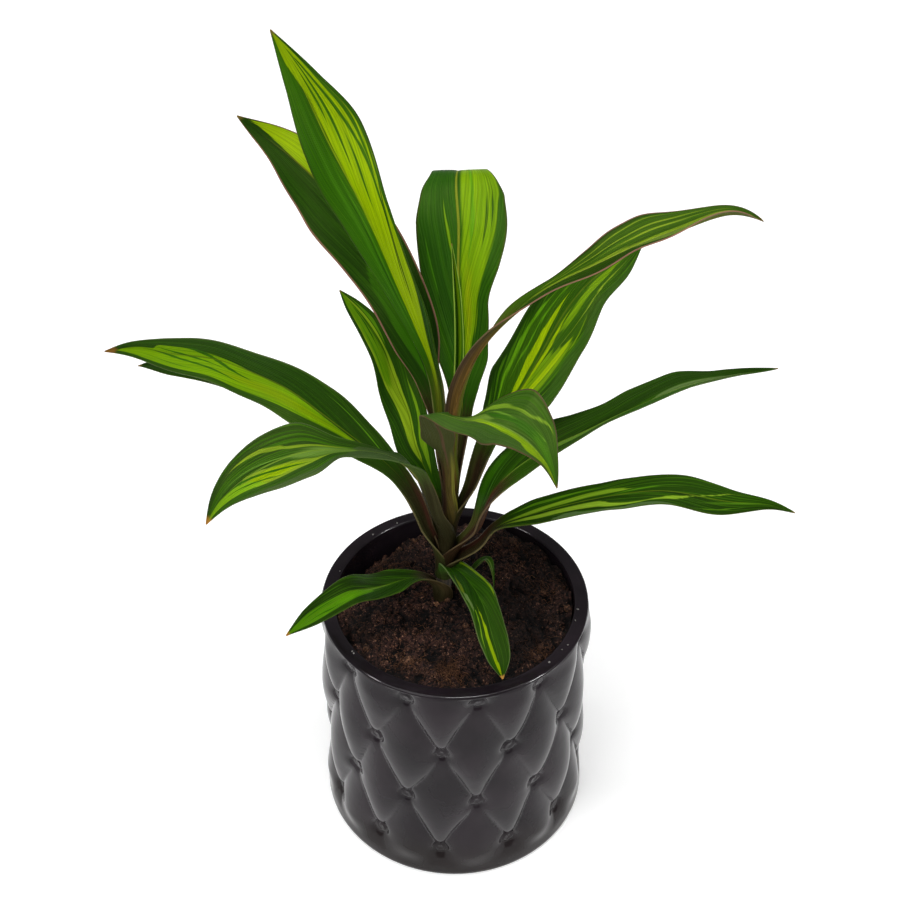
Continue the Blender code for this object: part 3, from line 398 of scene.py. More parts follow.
# The markings of each leaf's upper side. A band is a colour, the softness of its edges and rows of
# (place along the leaf, low edge, high edge), with -1 at the left margin, 0 at the rib and 1 at the
# right margin. A band starts and ends where its two edges meet.
LOOKS = {
    "leaf_tall_left_front": {
        "left": LEAF_MID, "right": LEAF_DARK, "rib": (122, 144, 16), "margin": (44, 70, 16),
        "streaks": 0.5, "fray": 0.02, "sway": 0.03,
        "stalk": ((72, 96, 22), (104, 118, 28), (52, 72, 20)),
        "bands": (
            ((60, 114, 14), 0.2, ((0.3, -0.5, -0.5), (0.4, -0.62, -0.38), (0.75, -0.6, -0.36), (0.9, -0.5, -0.5))),
            ((66, 122, 14), 0.1, ((0.3, -0.3, -0.3), (0.42, -0.32, -0.2), (0.7, -0.28, -0.18), (0.86, -0.2, -0.2))),
            ((24, 62, 6), 0.08, ((0.34, -0.4, -0.4), (0.45, -0.4, -0.32), (0.62, -0.36, -0.28), (0.8, -0.34, -0.34))),
            (LIME, 0.12, ((0.14, 0.0, 0.1), (0.24, -0.25, 0.3), (0.33, -0.28, 0.5), (0.42, -0.15, 0.8),
                          (0.5, -0.12, 1.0), (0.6, -0.1, 1.0), (0.72, -0.02, 0.98), (0.85, 0.0, 0.9),
                          (0.91, -0.25, 0.85), (0.96, -0.5, 0.75), (1.0, -0.3, 0.4))),
            (LEAF_DARK, 0.05, ((0.4, 0.38, 0.38), (0.46, 0.5, 0.58), (0.55, 0.66, 0.74), (0.68, 0.9, 0.94),
                               (0.7, 0.95, 0.95))),
            (STRIPE, 0.04, ((0.55, 0.7, 0.7), (0.62, 0.73, 0.83), (0.7, 0.7, 0.81), (0.8, 0.57, 0.68),
                            (0.9, 0.52, 0.65), (0.97, 0.4, 0.4))),
            (STRIPE, 0.04, ((0.6, 0.36, 0.36), (0.66, 0.37, 0.45), (0.73, 0.43, 0.51), (0.8, 0.5, 0.5))),
            (STRIPE, 0.04, ((0.68, 0.24, 0.24), (0.76, 0.26, 0.35), (0.85, 0.32, 0.44), (0.94, 0.38, 0.48),
                            (0.98, 0.42, 0.42))),
            (STRIPE, 0.04, ((0.64, 0.84, 0.84), (0.74, 0.76, 0.86), (0.84, 0.75, 0.88), (0.92, 0.74, 0.84),
                            (0.97, 0.7, 0.7))),
            (STRIPE, 0.04, ((0.78, 0.18, 0.18), (0.87, 0.19, 0.29), (0.96, 0.24, 0.24))),
            ((40, 86, 6), 0.05, ((0.5, 1.0, 1.0), (0.58, 0.9, 1.1), (0.7, 0.87, 0.96), (0.82, 0.88, 1.0),
                                 (0.9, 0.88, 1.1), (1.0, 0.9, 1.1))),
            ((30, 74, 6), 0.04, ((0.6, -0.04, -0.04), (0.7, -0.02, 0.04), (0.8, 0.0, 0.06), (0.88, -0.06, -0.06))),
            (LEAF_DARK, 0.04, ((0.42, 0.36, 0.36), (0.48, 0.46, 0.52), (0.56, 0.64, 0.7), (0.64, 0.76, 0.8),
                               (0.68, 0.8, 0.8))),
        ),
    },
    "leaf_tall_left_back": {
        "left": LEAF_DARK, "right": LEAF_DARK, "rib": (96, 100, 19), "margin": PINK,
        "streaks": 0.12,
        "bands": (
            (LEAF_MID, 0.12, ((0.3, -0.1, -0.1), (0.37, -0.5, -0.1), (0.45, -0.68, -0.2), (0.52, -0.68, -0.3),
                              (0.58, -0.42, -0.3), (0.64, -0.3, -0.3))),
            (LIME, 0.1, ((0.28, 0.1, 0.1), (0.38, 0.02, 0.4), (0.55, 0.0, 0.62), (0.72, -0.02, 0.8),
                         (0.82, -0.03, 0.95), (0.9, 0.12, 1.0), (0.95, 0.4, 0.95), (0.975, 0.7, 0.7))),
            (LEAF_DARK, 0.05, ((0.45, 0.3, 0.3), (0.55, 0.4, 0.46), (0.7, 0.55, 0.6), (0.76, 0.62, 0.62))),
        ),
    },
    "leaf_back_folded": {
        "left": (42, 86, 17), "right": (42, 86, 12), "rib": (132, 138, 34), "margin": (60, 74, 22),
        "streaks": 0.15,
        "bands": (
            (LEAF_MID, 0.2, ((0.24, -0.7, -0.7), (0.3, -0.7, -0.35), (0.4, -0.85, -0.5), (0.46, -0.8, -0.8))),
            ((64, 122, 17), 0.06, ((0.45, -0.55, -0.55), (0.52, -0.7, -0.6), (0.6, -0.8, -0.74), (0.64, -0.8, -0.8))),
            ((112, 152, 18), 0.05, ((0.56, -0.12, -0.12), (0.61, -0.28, -0.16), (0.68, -0.38, -0.3),
                                    (0.72, -0.4, -0.4))),
            ((120, 158, 10), 0.12, ((0.28, 0.12, 0.12), (0.36, 0.06, 0.4), (0.45, 0.05, 0.66), (0.55, 0.04, 0.72),
                                    (0.65, 0.05, 0.82), (0.75, 0.06, 0.95), (0.82, 0.06, 1.05), (0.92, 0.0, 1.05),
                                    (1.0, -0.3, 0.9))),
            ((146, 164, 12), 0.3, ((0.28, 0.12, 0.12), (0.36, 0.08, 0.36), (0.45, 0.08, 0.5), (0.52, 0.1, 0.4),
                                   (0.6, 0.2, 0.2))),
            (LIME_SOFT, 0.06, ((0.5, 0.62, 0.62), (0.58, 0.62, 0.72), (0.68, 0.66, 0.84), (0.8, 0.7, 0.94),
                               (0.88, 0.8, 0.8))),
            ((34, 74, 10), 0.05, ((0.56, 0.48, 0.48), (0.62, 0.5, 0.56), (0.69, 0.57, 0.65), (0.76, 0.66, 0.66))),
            ((34, 74, 10), 0.03, ((0.6, 0.62, 0.62), (0.68, 0.7, 0.75), (0.76, 0.78, 0.8), (0.8, 0.82, 0.82))),
            ((96, 150, 14), 0.05, ((0.5, 0.2, 0.2), (0.6, 0.22, 0.3), (0.8, 0.3, 0.4), (0.9, 0.35, 0.35))),
        ),
    },
    "leaf_right_long": {
        "left": (56, 88, 14), "right": (34, 62, 8), "rib": (148, 164, 56), "margin": PINK,
        "under": (88, 80, 32),
        "streaks": 0.5,
        "stalk": ((96, 106, 34), (112, 84, 38), (76, 58, 40)),
        "bands": (
            (LEAF_DARK, 0.15, ((0.5, -1.0, -1.0), (0.6, -1.1, -0.8), (0.8, -1.1, -0.88), (0.9, -1.0, -1.0))),
            (LIME_PALE, 0.06, ((0.55, -0.22, -0.22), (0.61, -0.6, -0.48), (0.7, -0.76, -0.66), (0.8, -0.86, -0.8),
                               (0.86, -0.9, -0.9))),
            (LIME_PALE, 0.05, ((0.56, -0.24, -0.24), (0.64, -0.48, -0.4), (0.75, -0.54, -0.46), (0.86, -0.7, -0.62),
                               (0.92, -0.76, -0.76))),
            (LIME_PALE, 0.05, ((0.58, -0.14, -0.14), (0.68, -0.3, -0.24), (0.8, -0.38, -0.3), (0.92, -0.54, -0.48),
                               (0.95, -0.56, -0.56))),
            (LIME_PALE, 0.06, ((0.53, -0.05, -0.05), (0.58, -0.2, 0.02), (0.66, -0.14, 0.03), (0.76, -0.12, 0.05),
                               (0.86, -0.2, 0.3), (0.95, -0.35, 0.3), (1.0, -0.1, 0.1))),
            ((112, 138, 48), 0.1, ((0.72, 0.05, 0.05), (0.78, 0.02, 0.8), (0.88, 0.0, 1.1), (0.95, 0.0, 0.8),
                                   (1.0, 0.1, 0.1))),
        ),
    },
    "leaf_right_broad": {
        "left": (29, 65, 4), "right": (29, 62, 5), "rib": (72, 94, 12), "margin": (52, 76, 22),
        "streaks": 0.9,
        "stalk": ((70, 74, 34), (58, 42, 28), (52, 52, 26)),
        "bands": (
            (LEAF_DARK, 0.12, ((0.2, -1.0, -1.0), (0.35, -1.1, -0.8), (0.6, -1.1, -0.8), (0.85, -1.1, -0.85),
                               (1.0, -1.0, -1.0))),
            ((46, 82, 19), 0.1, ((0.2, 1.0, 1.0), (0.35, 0.7, 1.1), (0.5, 0.66, 1.1), (0.65, 0.74, 1.1),
                                 (0.85, 0.7, 1.1), (1.0, 1.0, 1.0))),
            ((46, 85, 6), 0.3, ((0.38, -0.5, -0.1), (0.46, -0.72, 0.6), (0.6, -0.76, 0.78), (0.75, -0.7, 0.82),
                                  (0.88, -0.4, 0.7), (0.97, 0.0, 0.3))),
            ((88, 142, 13), 0.06, ((0.3, -0.3, -0.3), (0.4, -0.52, -0.42), (0.48, -0.66, -0.54), (0.58, -0.76, -0.62),
                                   (0.66, -0.72, -0.62), (0.76, -0.6, -0.6))),
            ((82, 136, 12), 0.05, ((0.42, -0.4, -0.4), (0.52, -0.5, -0.43), (0.66, -0.5, -0.43), (0.8, -0.46, -0.46))),
            (LIME, 0.04, ((0.3, -0.06, -0.06), (0.4, -0.16, -0.04), (0.47, -0.24, -0.08), (0.56, -0.32, -0.1),
                          (0.66, -0.31, -0.12), (0.7, -0.29, -0.2), (0.74, -0.26, -0.26))),
            (LIME, 0.05, ((0.3, 0.02, 0.02), (0.42, 0.0, 0.1), (0.5, 0.02, 0.16), (0.58, 0.06, 0.2),
                          (0.66, 0.08, 0.14), (0.72, 0.12, 0.12))),
            (LIME_SOFT, 0.08, ((0.6, 0.14, 0.14), (0.68, 0.14, 0.34), (0.76, 0.12, 0.38), (0.84, 0.05, 0.3),
                               (0.92, 0.1, 0.1))),
            (LIME_SOFT, 0.1, ((0.36, 0.1, 0.1), (0.45, 0.05, 0.5), (0.52, 0.1, 0.6), (0.57, 0.25, 0.66),
                              (0.61, 0.5, 0.68), (0.64, 0.64, 0.64))),
            (LIME, 0.05, ((0.38, 0.24, 0.24), (0.46, 0.22, 0.36), (0.52, 0.3, 0.48), (0.57, 0.42, 0.58),
                          (0.62, 0.56, 0.6), (0.64, 0.6, 0.6))),
            ((44, 84, 8), 0.03, ((0.47, 0.12, 0.12), (0.54, 0.16, 0.2), (0.62, 0.28, 0.33), (0.7, 0.4, 0.43),
                                 (0.74, 0.44, 0.44))),
            (LIME_PALE, 0.04, ((0.54, 0.26, 0.26), (0.6, 0.34, 0.38), (0.68, 0.46, 0.5), (0.76, 0.52, 0.58),
                               (0.84, 0.42, 0.5), (0.94, 0.34, 0.34))),
            (LIME_SOFT, 0.04, ((0.58, 0.62, 0.62), (0.62, 0.66, 0.72), (0.68, 0.66, 0.7), (0.74, 0.64, 0.64))),
        ),
    },
    "leaf_right_middle": {
        "left": (27, 60, 5), "right": (48, 85, 10), "rib": (116, 146, 49), "margin": (66, 84, 40), "lag": 0.12,
        "streaks": 0.25,
        "stalk": ((76, 80, 36), (74, 44, 32), (62, 38, 28)),
        "bands": (
            (LEAF_MID, 0.25, ((0.12, -0.6, -0.6), (0.2, -0.95, -0.4), (0.32, -0.95, -0.5), (0.4, -0.8, -0.8))),
            ((70, 118, 44), 0.05, ((0.18, -0.45, -0.45), (0.24, -0.38, -0.3), (0.3, -0.5, -0.44), (0.36, -0.6, -0.6))),
            ((112, 152, 52), 0.15, ((0.36, 0.05, 0.05), (0.42, 0.03, 0.5), (0.52, 0.03, 0.6), (0.62, 0.05, 0.3),
                                    (0.68, 0.1, 0.1))),
            ((50, 96, 13), 0.2, ((0.55, 0.5, 0.5), (0.62, 0.4, 1.1), (0.75, 0.3, 1.1), (1.0, 0.5, 0.5))),
            ((92, 118, 62), 0.08, ((0.66, 0.0, 0.0), (0.72, -0.2, 0.1), (0.8, -0.24, 0.1), (0.88, -0.16, 0.1),
                                   (0.96, 0.0, 0.0))),
        ),
    },
    "leaf_front_folded": {
        "left": (58, 90, 26), "right": (64, 92, 36), "rib": (108, 140, 49), "margin": (86, 66, 48),
        "under": (62, 60, 34), "under_share": 0.15, "keel": (82, 60, 46), "fray": 0.015,
        "streaks": 0.4,
        "stalk": ((150, 146, 58), (84, 72, 34), (60, 38, 27)),
        "bands": (
            ((118, 152, 40), 0.08, ((0.64, -0.95, -0.95), (0.68, -0.86, -0.6), (0.74, -0.64, -0.44), (0.79, -0.56, -0.42),
                                   (0.84, -0.72, -0.6), (0.88, -0.9, -0.84), (0.9, -0.9, -0.9))),
            ((104, 146, 44), 0.06, ((0.67, -0.5, -0.5), (0.74, -0.36, -0.28), (0.8, -0.3, -0.22),
                                    (0.86, -0.44, -0.36), (0.9, -0.56, -0.56))),
            ((48, 94, 17), 0.08, ((0.68, -0.4, -0.4), (0.76, -0.3, -0.14), (0.84, -0.4, -0.14), (0.9, -0.5, -0.5))),
            ((66, 112, 22), 0.3, ((0.83, -0.3, -0.3), (0.88, -0.5, -0.05), (0.95, -0.6, 0.0), (1.0, -0.3, -0.3))),
            ((104, 136, 48), 0.12, ((0.6, -0.5, -0.5), (0.64, -0.6, -0.15), (0.7, -0.35, 0.0), (0.74, -0.1, -0.1))),
            ((136, 170, 24), 0.07, ((0.63, -0.24, -0.24), (0.7, -0.1, 0.1), (0.77, 0.0, 0.24), (0.83, -0.03, 0.38),
                                    (0.89, -0.06, 0.7), (0.94, -0.1, 0.7), (0.99, -0.1, 0.2), (1.0, 0.0, 0.0))),
            ((52, 96, 22), 0.03, ((0.68, 0.06, 0.06), (0.76, 0.17, 0.2), (0.86, 0.27, 0.29), (0.92, 0.3, 0.3))),
        ),
    },
    "leaf_right_low": {
        "left": (33, 68, 5), "right": (26, 57, 4), "rib": (96, 120, 22), "margin": (66, 84, 24),
        "streaks": 0.7,
        "stalk": ((70, 38, 32), (62, 52, 32), (72, 70, 38)), "fray": 0.03, "sway": 0.05,
        "bands": (
            ((130, 170, 34), 0.14, ((0.19, -0.05, -0.05), (0.24, -0.2, 0.08), (0.3, -0.3, 0.0), (0.4, -0.42, -0.1),
                          (0.48, -0.52, -0.16), (0.52, -0.46, -0.16), (0.56, -0.3, -0.24), (0.6, -0.28, -0.28))),
            ((88, 142, 17), 0.08, ((0.22, -0.6, -0.6), (0.32, -0.72, -0.5), (0.42, -0.72, -0.58), (0.52, -0.66, -0.66))),
            ((84, 138, 18), 0.05, ((0.5, -0.1, -0.1), (0.57, -0.24, -0.14), (0.64, -0.38, -0.3), (0.74, -0.52, -0.52))),
            ((144, 180, 44), 0.1, ((0.2, 0.3, 0.3), (0.28, 0.2, 0.56), (0.38, 0.18, 0.58), (0.46, 0.22, 0.68),
                               (0.5, 0.5, 0.8), (0.56, 0.62, 0.76), (0.6, 0.54, 0.68), (0.65, 0.3, 0.6),
                               (0.7, 0.12, 0.24), (0.77, -0.28, -0.16), (0.85, -0.7, -0.66), (0.88, -0.76, -0.76))),
            ((84, 134, 22), 0.3, ((0.66, 0.66, 0.66), (0.72, 0.4, 0.52), (0.8, 0.06, 0.36), (0.88, -0.16, 0.26),
                                  (0.95, -0.1, 0.1), (0.98, 0.0, 0.0))),
            ((84, 134, 16), 0.05, ((0.68, 0.9, 0.9), (0.75, 0.72, 0.8), (0.85, 0.5, 0.56), (0.92, 0.46, 0.46))),
            ((84, 112, 62), 0.06, ((0.34, 0.95, 0.95), (0.39, 0.66, 1.1), (0.44, 0.84, 1.1), (0.5, 0.86, 1.1),
                                   (0.58, 0.76, 1.1), (0.64, 0.86, 1.1), (0.67, 1.0, 1.0))),
        ),
    },
    "leaf_left_upper": {
        "left": (36, 68, 10), "right": (33, 64, 12), "rib": (84, 104, 18), "margin": (70, 92, 41),
        "tip": (126, 88, 34), "tip_start": 0.965,
        "streaks": 0.2,
        "stalk": ((64, 68, 34), (50, 46, 26), (68, 38, 30)), "fray": 0.008, "sway": 0.03,
        "bands": (
            ((112, 154, 4), 0.07, ((0.3, -0.15, -0.15), (0.38, -0.3, -0.1), (0.46, -0.46, -0.05), (0.55, -0.68, -0.02),
                                   (0.63, -0.78, 0.0), (0.7, -0.82, 0.18), (0.76, -0.8, 0.34), (0.82, -0.78, 0.52),
                                   (0.86, -0.76, 0.56), (0.88, -0.76, 0.24), (0.93, -0.66, 0.2), (0.97, -0.3, -0.3))),
            ((124, 152, 2), 0.3, ((0.36, -0.2, -0.2), (0.46, -0.4, -0.1), (0.6, -0.66, -0.14), (0.7, -0.6, -0.3),
                                  (0.74, -0.4, -0.4))),
            ((46, 94, 6), 0.04, ((0.62, -0.34, -0.34), (0.68, -0.3, -0.2), (0.72, -0.16, 0.0), (0.75, 0.08, 0.3),
                                 (0.78, 0.34, 0.46), (0.8, 0.5, 0.5))),
            ((50, 100, 8), 0.04, ((0.63, -0.58, -0.58), (0.72, -0.52, -0.43), (0.8, -0.32, -0.2), (0.86, -0.1, 0.02),
                                  (0.92, 0.1, 0.1))),
            ((50, 100, 8), 0.04, ((0.68, -0.36, -0.36), (0.77, -0.16, -0.06), (0.83, 0.1, 0.24), (0.88, 0.4, 0.4))),
            ((66, 114, 10), 0.04, ((0.74, -0.66, -0.66), (0.82, -0.58, -0.52), (0.9, -0.4, -0.36), (0.94, -0.3, -0.3))),
            ((92, 148, 22), 0.04, ((0.31, 0.3, 0.3), (0.35, 0.42, 0.5), (0.4, 0.58, 0.64), (0.46, 0.66, 0.7),
                                   (0.53, 0.74, 0.74))),
        ),
    },
    "leaf_left_folded": {
        "left": (44, 76, 20), "right": (42, 70, 18), "rib": (110, 140, 44), "margin": (72, 92, 48),
        "under": (62, 74, 25), "tip": ORANGE, "tip_start": 0.975,
        "streaks": 0.6,
        "stalk": ((58, 56, 34), (45, 43, 25), (40, 38, 22)), "fray": 0.01, "sway": 0.05,
        "bands": (
            ((66, 88, 46), 0.12, ((0.3, -1.1, 0.2), (0.5, -1.1, 0.6), (0.56, -1.1, 0.2), (0.6, -1.1, -0.7),
                                  (0.7, -1.1, -0.78), (0.85, -1.1, -0.85), (0.95, -1.0, -1.0))),
            ((104, 138, 52), 0.3, ((0.54, 0.1, 0.1), (0.6, -0.5, 0.3), (0.68, -0.4, 0.2), (0.76, 0.0, 0.1),
                                   (0.8, 0.1, 0.1))),
            ((62, 104, 22), 0.2, ((0.64, 0.0, 0.0), (0.74, 0.0, 0.24), (0.85, 0.1, 0.34), (0.96, 0.1, 0.4),
                                  (1.0, 0.2, 0.2))),
            (LIME_PALE, 0.06, ((0.6, -0.4, -0.4), (0.66, -0.5, -0.36), (0.71, -0.58, -0.24), (0.78, -0.66, -0.12),
                               (0.82, -0.68, 0.0), (0.845, -0.6, 0.05), (0.86, -0.4, -0.1))),
            (LIME, 0.2, ((0.68, -0.44, -0.44), (0.74, -0.56, -0.2), (0.8, -0.62, -0.1), (0.85, -0.5, -0.2))),
            ((124, 168, 24), 0.1, ((0.8, -0.68, -0.68), (0.86, -0.64, -0.16), (0.93, -0.62, 0.1), (1.0, -0.5, 0.2))),
            ((44, 96, 10), 0.05, ((0.66, -0.48, -0.48), (0.72, -0.46, -0.38), (0.8, -0.32, -0.2), (0.88, -0.12, 0.0),
                                  (0.96, 0.04, 0.04))),
            ((50, 100, 14), 0.05, ((0.72, -0.62, -0.62), (0.8, -0.54, -0.46), (0.88, -0.36, -0.28), (0.95, -0.2, -0.2))),
            (LIME_PALE, 0.05, ((0.56, 0.2, 0.2), (0.62, 0.14, 0.24), (0.7, 0.16, 0.28), (0.75, 0.3, 0.46),
                               (0.8, 0.48, 0.66), (0.86, 0.66, 0.72), (0.89, 0.72, 0.72))),
            ((96, 140, 44), 0.05, ((0.66, -0.06, -0.06), (0.74, 0.0, 0.06), (0.84, 0.16, 0.24), (0.94, 0.3, 0.3))),
        ),
    },
    "leaf_left_inner": {
        "left": (32, 66, 10), "right": (40, 76, 12), "rib": (84, 110, 14), "margin": (50, 70, 18),
        "streaks": 0.4, "fray": 0.02, "sway": 0.06,
        "bands": (
            ((144, 174, 30), 0.07, ((0.26, 0.0, 0.0), (0.32, -0.22, 0.16), (0.42, -0.38, 0.14), (0.52, -0.46, 0.16),
                                    (0.62, -0.68, 0.2), (0.72, -0.84, 0.2), (0.82, -0.82, 0.3), (0.92, -0.7, 0.4),
                                    (1.0, -0.5, 0.3))),
            ((104, 152, 12), 0.3, ((0.56, -0.3, -0.3), (0.66, -0.8, 0.0), (0.8, -0.84, 0.2), (1.0, -0.7, 0.4))),
            ((40, 92, 8), 0.06, ((0.64, 0.0, 0.0), (0.72, -0.04, 0.1), (0.8, -0.1, 0.12), (0.9, 0.0, 0.16),
                                 (0.96, 0.2, 0.2))),
            ((40, 92, 8), 0.06, ((0.7, -0.36, -0.36), (0.8, -0.3, -0.18), (0.9, -0.14, -0.02), (0.96, 0.0, 0.0))),
            ((66, 124, 10), 0.05, ((0.6, -0.5, -0.5), (0.7, -0.62, -0.54), (0.82, -0.56, -0.48), (0.92, -0.4, -0.4))),
            ((92, 146, 16), 0.08, ((0.72, 0.2, 0.2), (0.8, 0.28, 0.5), (0.88, 0.4, 0.7), (0.96, 0.6, 0.7))),
            ((116, 158, 22), 0.07, ((0.2, 0.3, 0.3), (0.27, 0.34, 0.6), (0.34, 0.3, 0.7), (0.44, 0.44, 0.66),
                                    (0.54, 0.52, 0.66), (0.62, 0.62, 0.62))),
        ),
    },
    "leaf_left_hidden": {
        "left": (24, 53, 6), "right": (22, 50, 6), "rib": (84, 104, 18), "margin": (64, 84, 26),
        "streaks": 0.2,
        "bands": (
            (LIME_SOFT, 0.08, ((0.3, 0.1, 0.1), (0.45, 0.05, 0.45), (0.65, 0.05, 0.6), (0.85, 0.05, 0.5),
                               (0.96, 0.2, 0.2))),
        ),
    },
    "leaf_small_left": {
        "left": (29, 60, 6), "right": (24, 50, 7), "rib": (86, 118, 24), "margin": (60, 84, 25),
        "tip": ORANGE, "tip_start": 0.975,
        "streaks": 0.6,
        "stalk": ((72, 60, 38), (70, 66, 40), (64, 54, 34)),
        "bands": (
            ((104, 142, 40), 0.06, ((0.3, 0.0, 0.0), (0.4, -0.1, 0.02), (0.5, -0.26, -0.06), (0.58, -0.3, -0.1),
                                    (0.66, -0.1, 0.08), (0.78, 0.1, 0.1))),
            ((88, 146, 11), 0.15, ((0.46, -0.3, -0.3), (0.56, -0.56, 0.0), (0.68, -0.66, 0.28), (0.85, -0.7, 0.5),
                                   (1.0, -0.6, 0.6))),
            ((50, 104, 11), 0.06, ((0.62, -0.5, -0.5), (0.72, -0.46, -0.36), (0.85, -0.36, -0.26), (0.95, -0.3, -0.3))),
            ((50, 104, 11), 0.05, ((0.66, 0.1, 0.1), (0.75, 0.16, 0.24), (0.88, 0.2, 0.28), (0.95, 0.2, 0.2))),
        ),
    },
    "leaf_small_front": {
        "left": (30, 62, 8), "right": (26, 58, 6), "rib": (60, 100, 18), "margin": (88, 108, 58),
        "tip": (182, 132, 62), "tip_start": 0.972,
        "streaks": 0.3,
        "stalk": ((74, 104, 42), (66, 98, 36), (48, 82, 26)),
        "bands": (
            ((116, 146, 16), 0.06, ((0.08, -0.8, -0.8), (0.18, -0.9, -0.68), (0.3, -0.98, -0.78), (0.42, -0.96, -0.82),
                                    (0.5, -0.9, -0.9))),
            ((82, 114, 44), 0.08, ((0.16, -0.2, -0.2), (0.24, -0.34, -0.24), (0.32, -0.36, -0.36))),
            (LIME, 0.06, ((0.46, 0.52, 0.52), (0.56, 0.38, 0.46), (0.66, 0.26, 0.44), (0.76, 0.22, 0.48),
                          (0.86, 0.18, 0.5), (0.95, 0.05, 0.5), (1.0, 0.2, 0.3))),
            ((116, 160, 22), 0.05, ((0.48, 0.78, 0.78), (0.56, 0.62, 0.7), (0.64, 0.6, 0.7), (0.74, 0.7, 0.8),
                                    (0.82, 0.8, 0.8))),
            ((96, 116, 16), 0.06, ((0.26, 0.7, 0.7), (0.32, 0.68, 0.86), (0.38, 0.72, 0.92), (0.44, 0.9, 0.9))),
            ((96, 120, 64), 0.06, ((0.38, 0.9, 0.9), (0.44, 0.66, 0.9), (0.5, 0.68, 0.84), (0.56, 0.8, 0.8))),
        ),
    },
    "leaf_small_curled": {
        "left": (46, 82, 11), "right": (40, 74, 9), "rib": (92, 130, 44), "margin": (84, 96, 48),
        "streaks": 0.3,
        "bands": (
            ((112, 146, 48), 0.2, ((0.3, 0.2, 0.2), (0.5, 0.1, 0.6), (0.8, 0.1, 0.5), (1.0, 0.3, 0.3))),
        ),
    },
    "leaf_spear": {
        "left": (58, 100, 14), "right": (62, 105, 14), "rib": (100, 136, 48), "margin": (134, 164, 60),
        "under": (66, 108, 26),
        "streaks": 0.3,
        "stalk": ((96, 106, 40), (92, 84, 38), (84, 60, 44)),
        "bands": (
            (LIME_SOFT, 0.15, ((0.4, 0.4, 0.4), (0.6, 0.3, 0.8), (0.85, 0.2, 0.8), (1.0, 0.5, 0.5))),
        ),
    },
}


def smooth_step(value):
    value = np.clip(value, 0.0, 1.0)
    return value * value * (3 - 2 * value)


def natural_spline(knots, points, places):
    """The smooth curve through the points at their knots, sampled at other places."""
    steps = np.diff(knots)[:, None]
    count = len(points)
    rises = np.diff(points, axis=0) / steps
    system = np.eye(count)
    bends = np.zeros(points.shape)
    for i in range(1, count - 1):
        before, after = steps[i - 1, 0], steps[i, 0]
        system[i, i - 1 : i + 2] = before, 2 * (before + after), after
        bends[i] = 6 * (rises[i] - rises[i - 1])
    bends = np.linalg.solve(system, bends)
    span = np.clip(np.searchsorted(knots, places, side="right") - 1, 0, count - 2)
    after = (places - knots[span])[:, None] / steps[span]
    before = 1 - after
    curve = before * points[span] + after * points[span + 1]
    sag = (before**3 - before) * bends[span] + (after**3 - after) * bends[span + 1]
    return curve + sag * steps[span] ** 2 / 6


def steady_curve(knots, values, places):
    """A smooth curve through the values that never swings beyond its neighbours."""
    steps = np.diff(knots)
    slopes = np.diff(values) / steps
    tangents = np.concatenate([slopes[:1], np.zeros(len(values) - 2), slopes[-1:]])
    for i, (before, after) in enumerate(zip(slopes, slopes[1:]), 1):
        if before * after > 0:
            tangents[i] = 2 * before * after / (before + after)
    span = np.clip(np.searchsorted(knots, places, side="right") - 1, 0, len(values) - 2)
    step = steps[span]
    after = (places - knots[span]) / step
    curve = values[span] + (values[span + 1] - values[span]) * smooth_step(after)
    leave = tangents[span] * step * after * (1 - after) ** 2
    return curve + leave - tangents[span + 1] * step * after**2 * (1 - after)


def unit(vectors):
    return vectors / np.linalg.norm(vectors, axis=-1, keepdims=True)


def leaf_course(leaf, count):
    """Rib points, half widths and facing directions at even steps of the rib's true length."""
    points, widths, faces = zip(*leaf["stations"])
    points, faces = np.array(points, float), np.array(faces, float)
    widths = np.array([np.broadcast_to(width, 2) for width in widths], float)
    widths[-1] = TIP_HALF_WIDTH
    knots = np.concatenate([[0.0], np.cumsum(np.linalg.norm(np.diff(points, axis=0), axis=1))])
    dense = np.linspace(0, knots[-1], 600)
    curve = natural_spline(knots, points, dense)
    run = np.concatenate([[0.0], np.cumsum(np.linalg.norm(np.diff(curve, axis=0), axis=1))])
    places = np.interp(np.linspace(0, run[-1], count), run, dense)
    halves = np.stack([steady_curve(knots, side, places) for side in widths.T], axis=1)
    halves = np.maximum(halves, TIP_HALF_WIDTH)
    return natural_spline(knots, points, places), halves, natural_spline(knots, unit(faces), places)


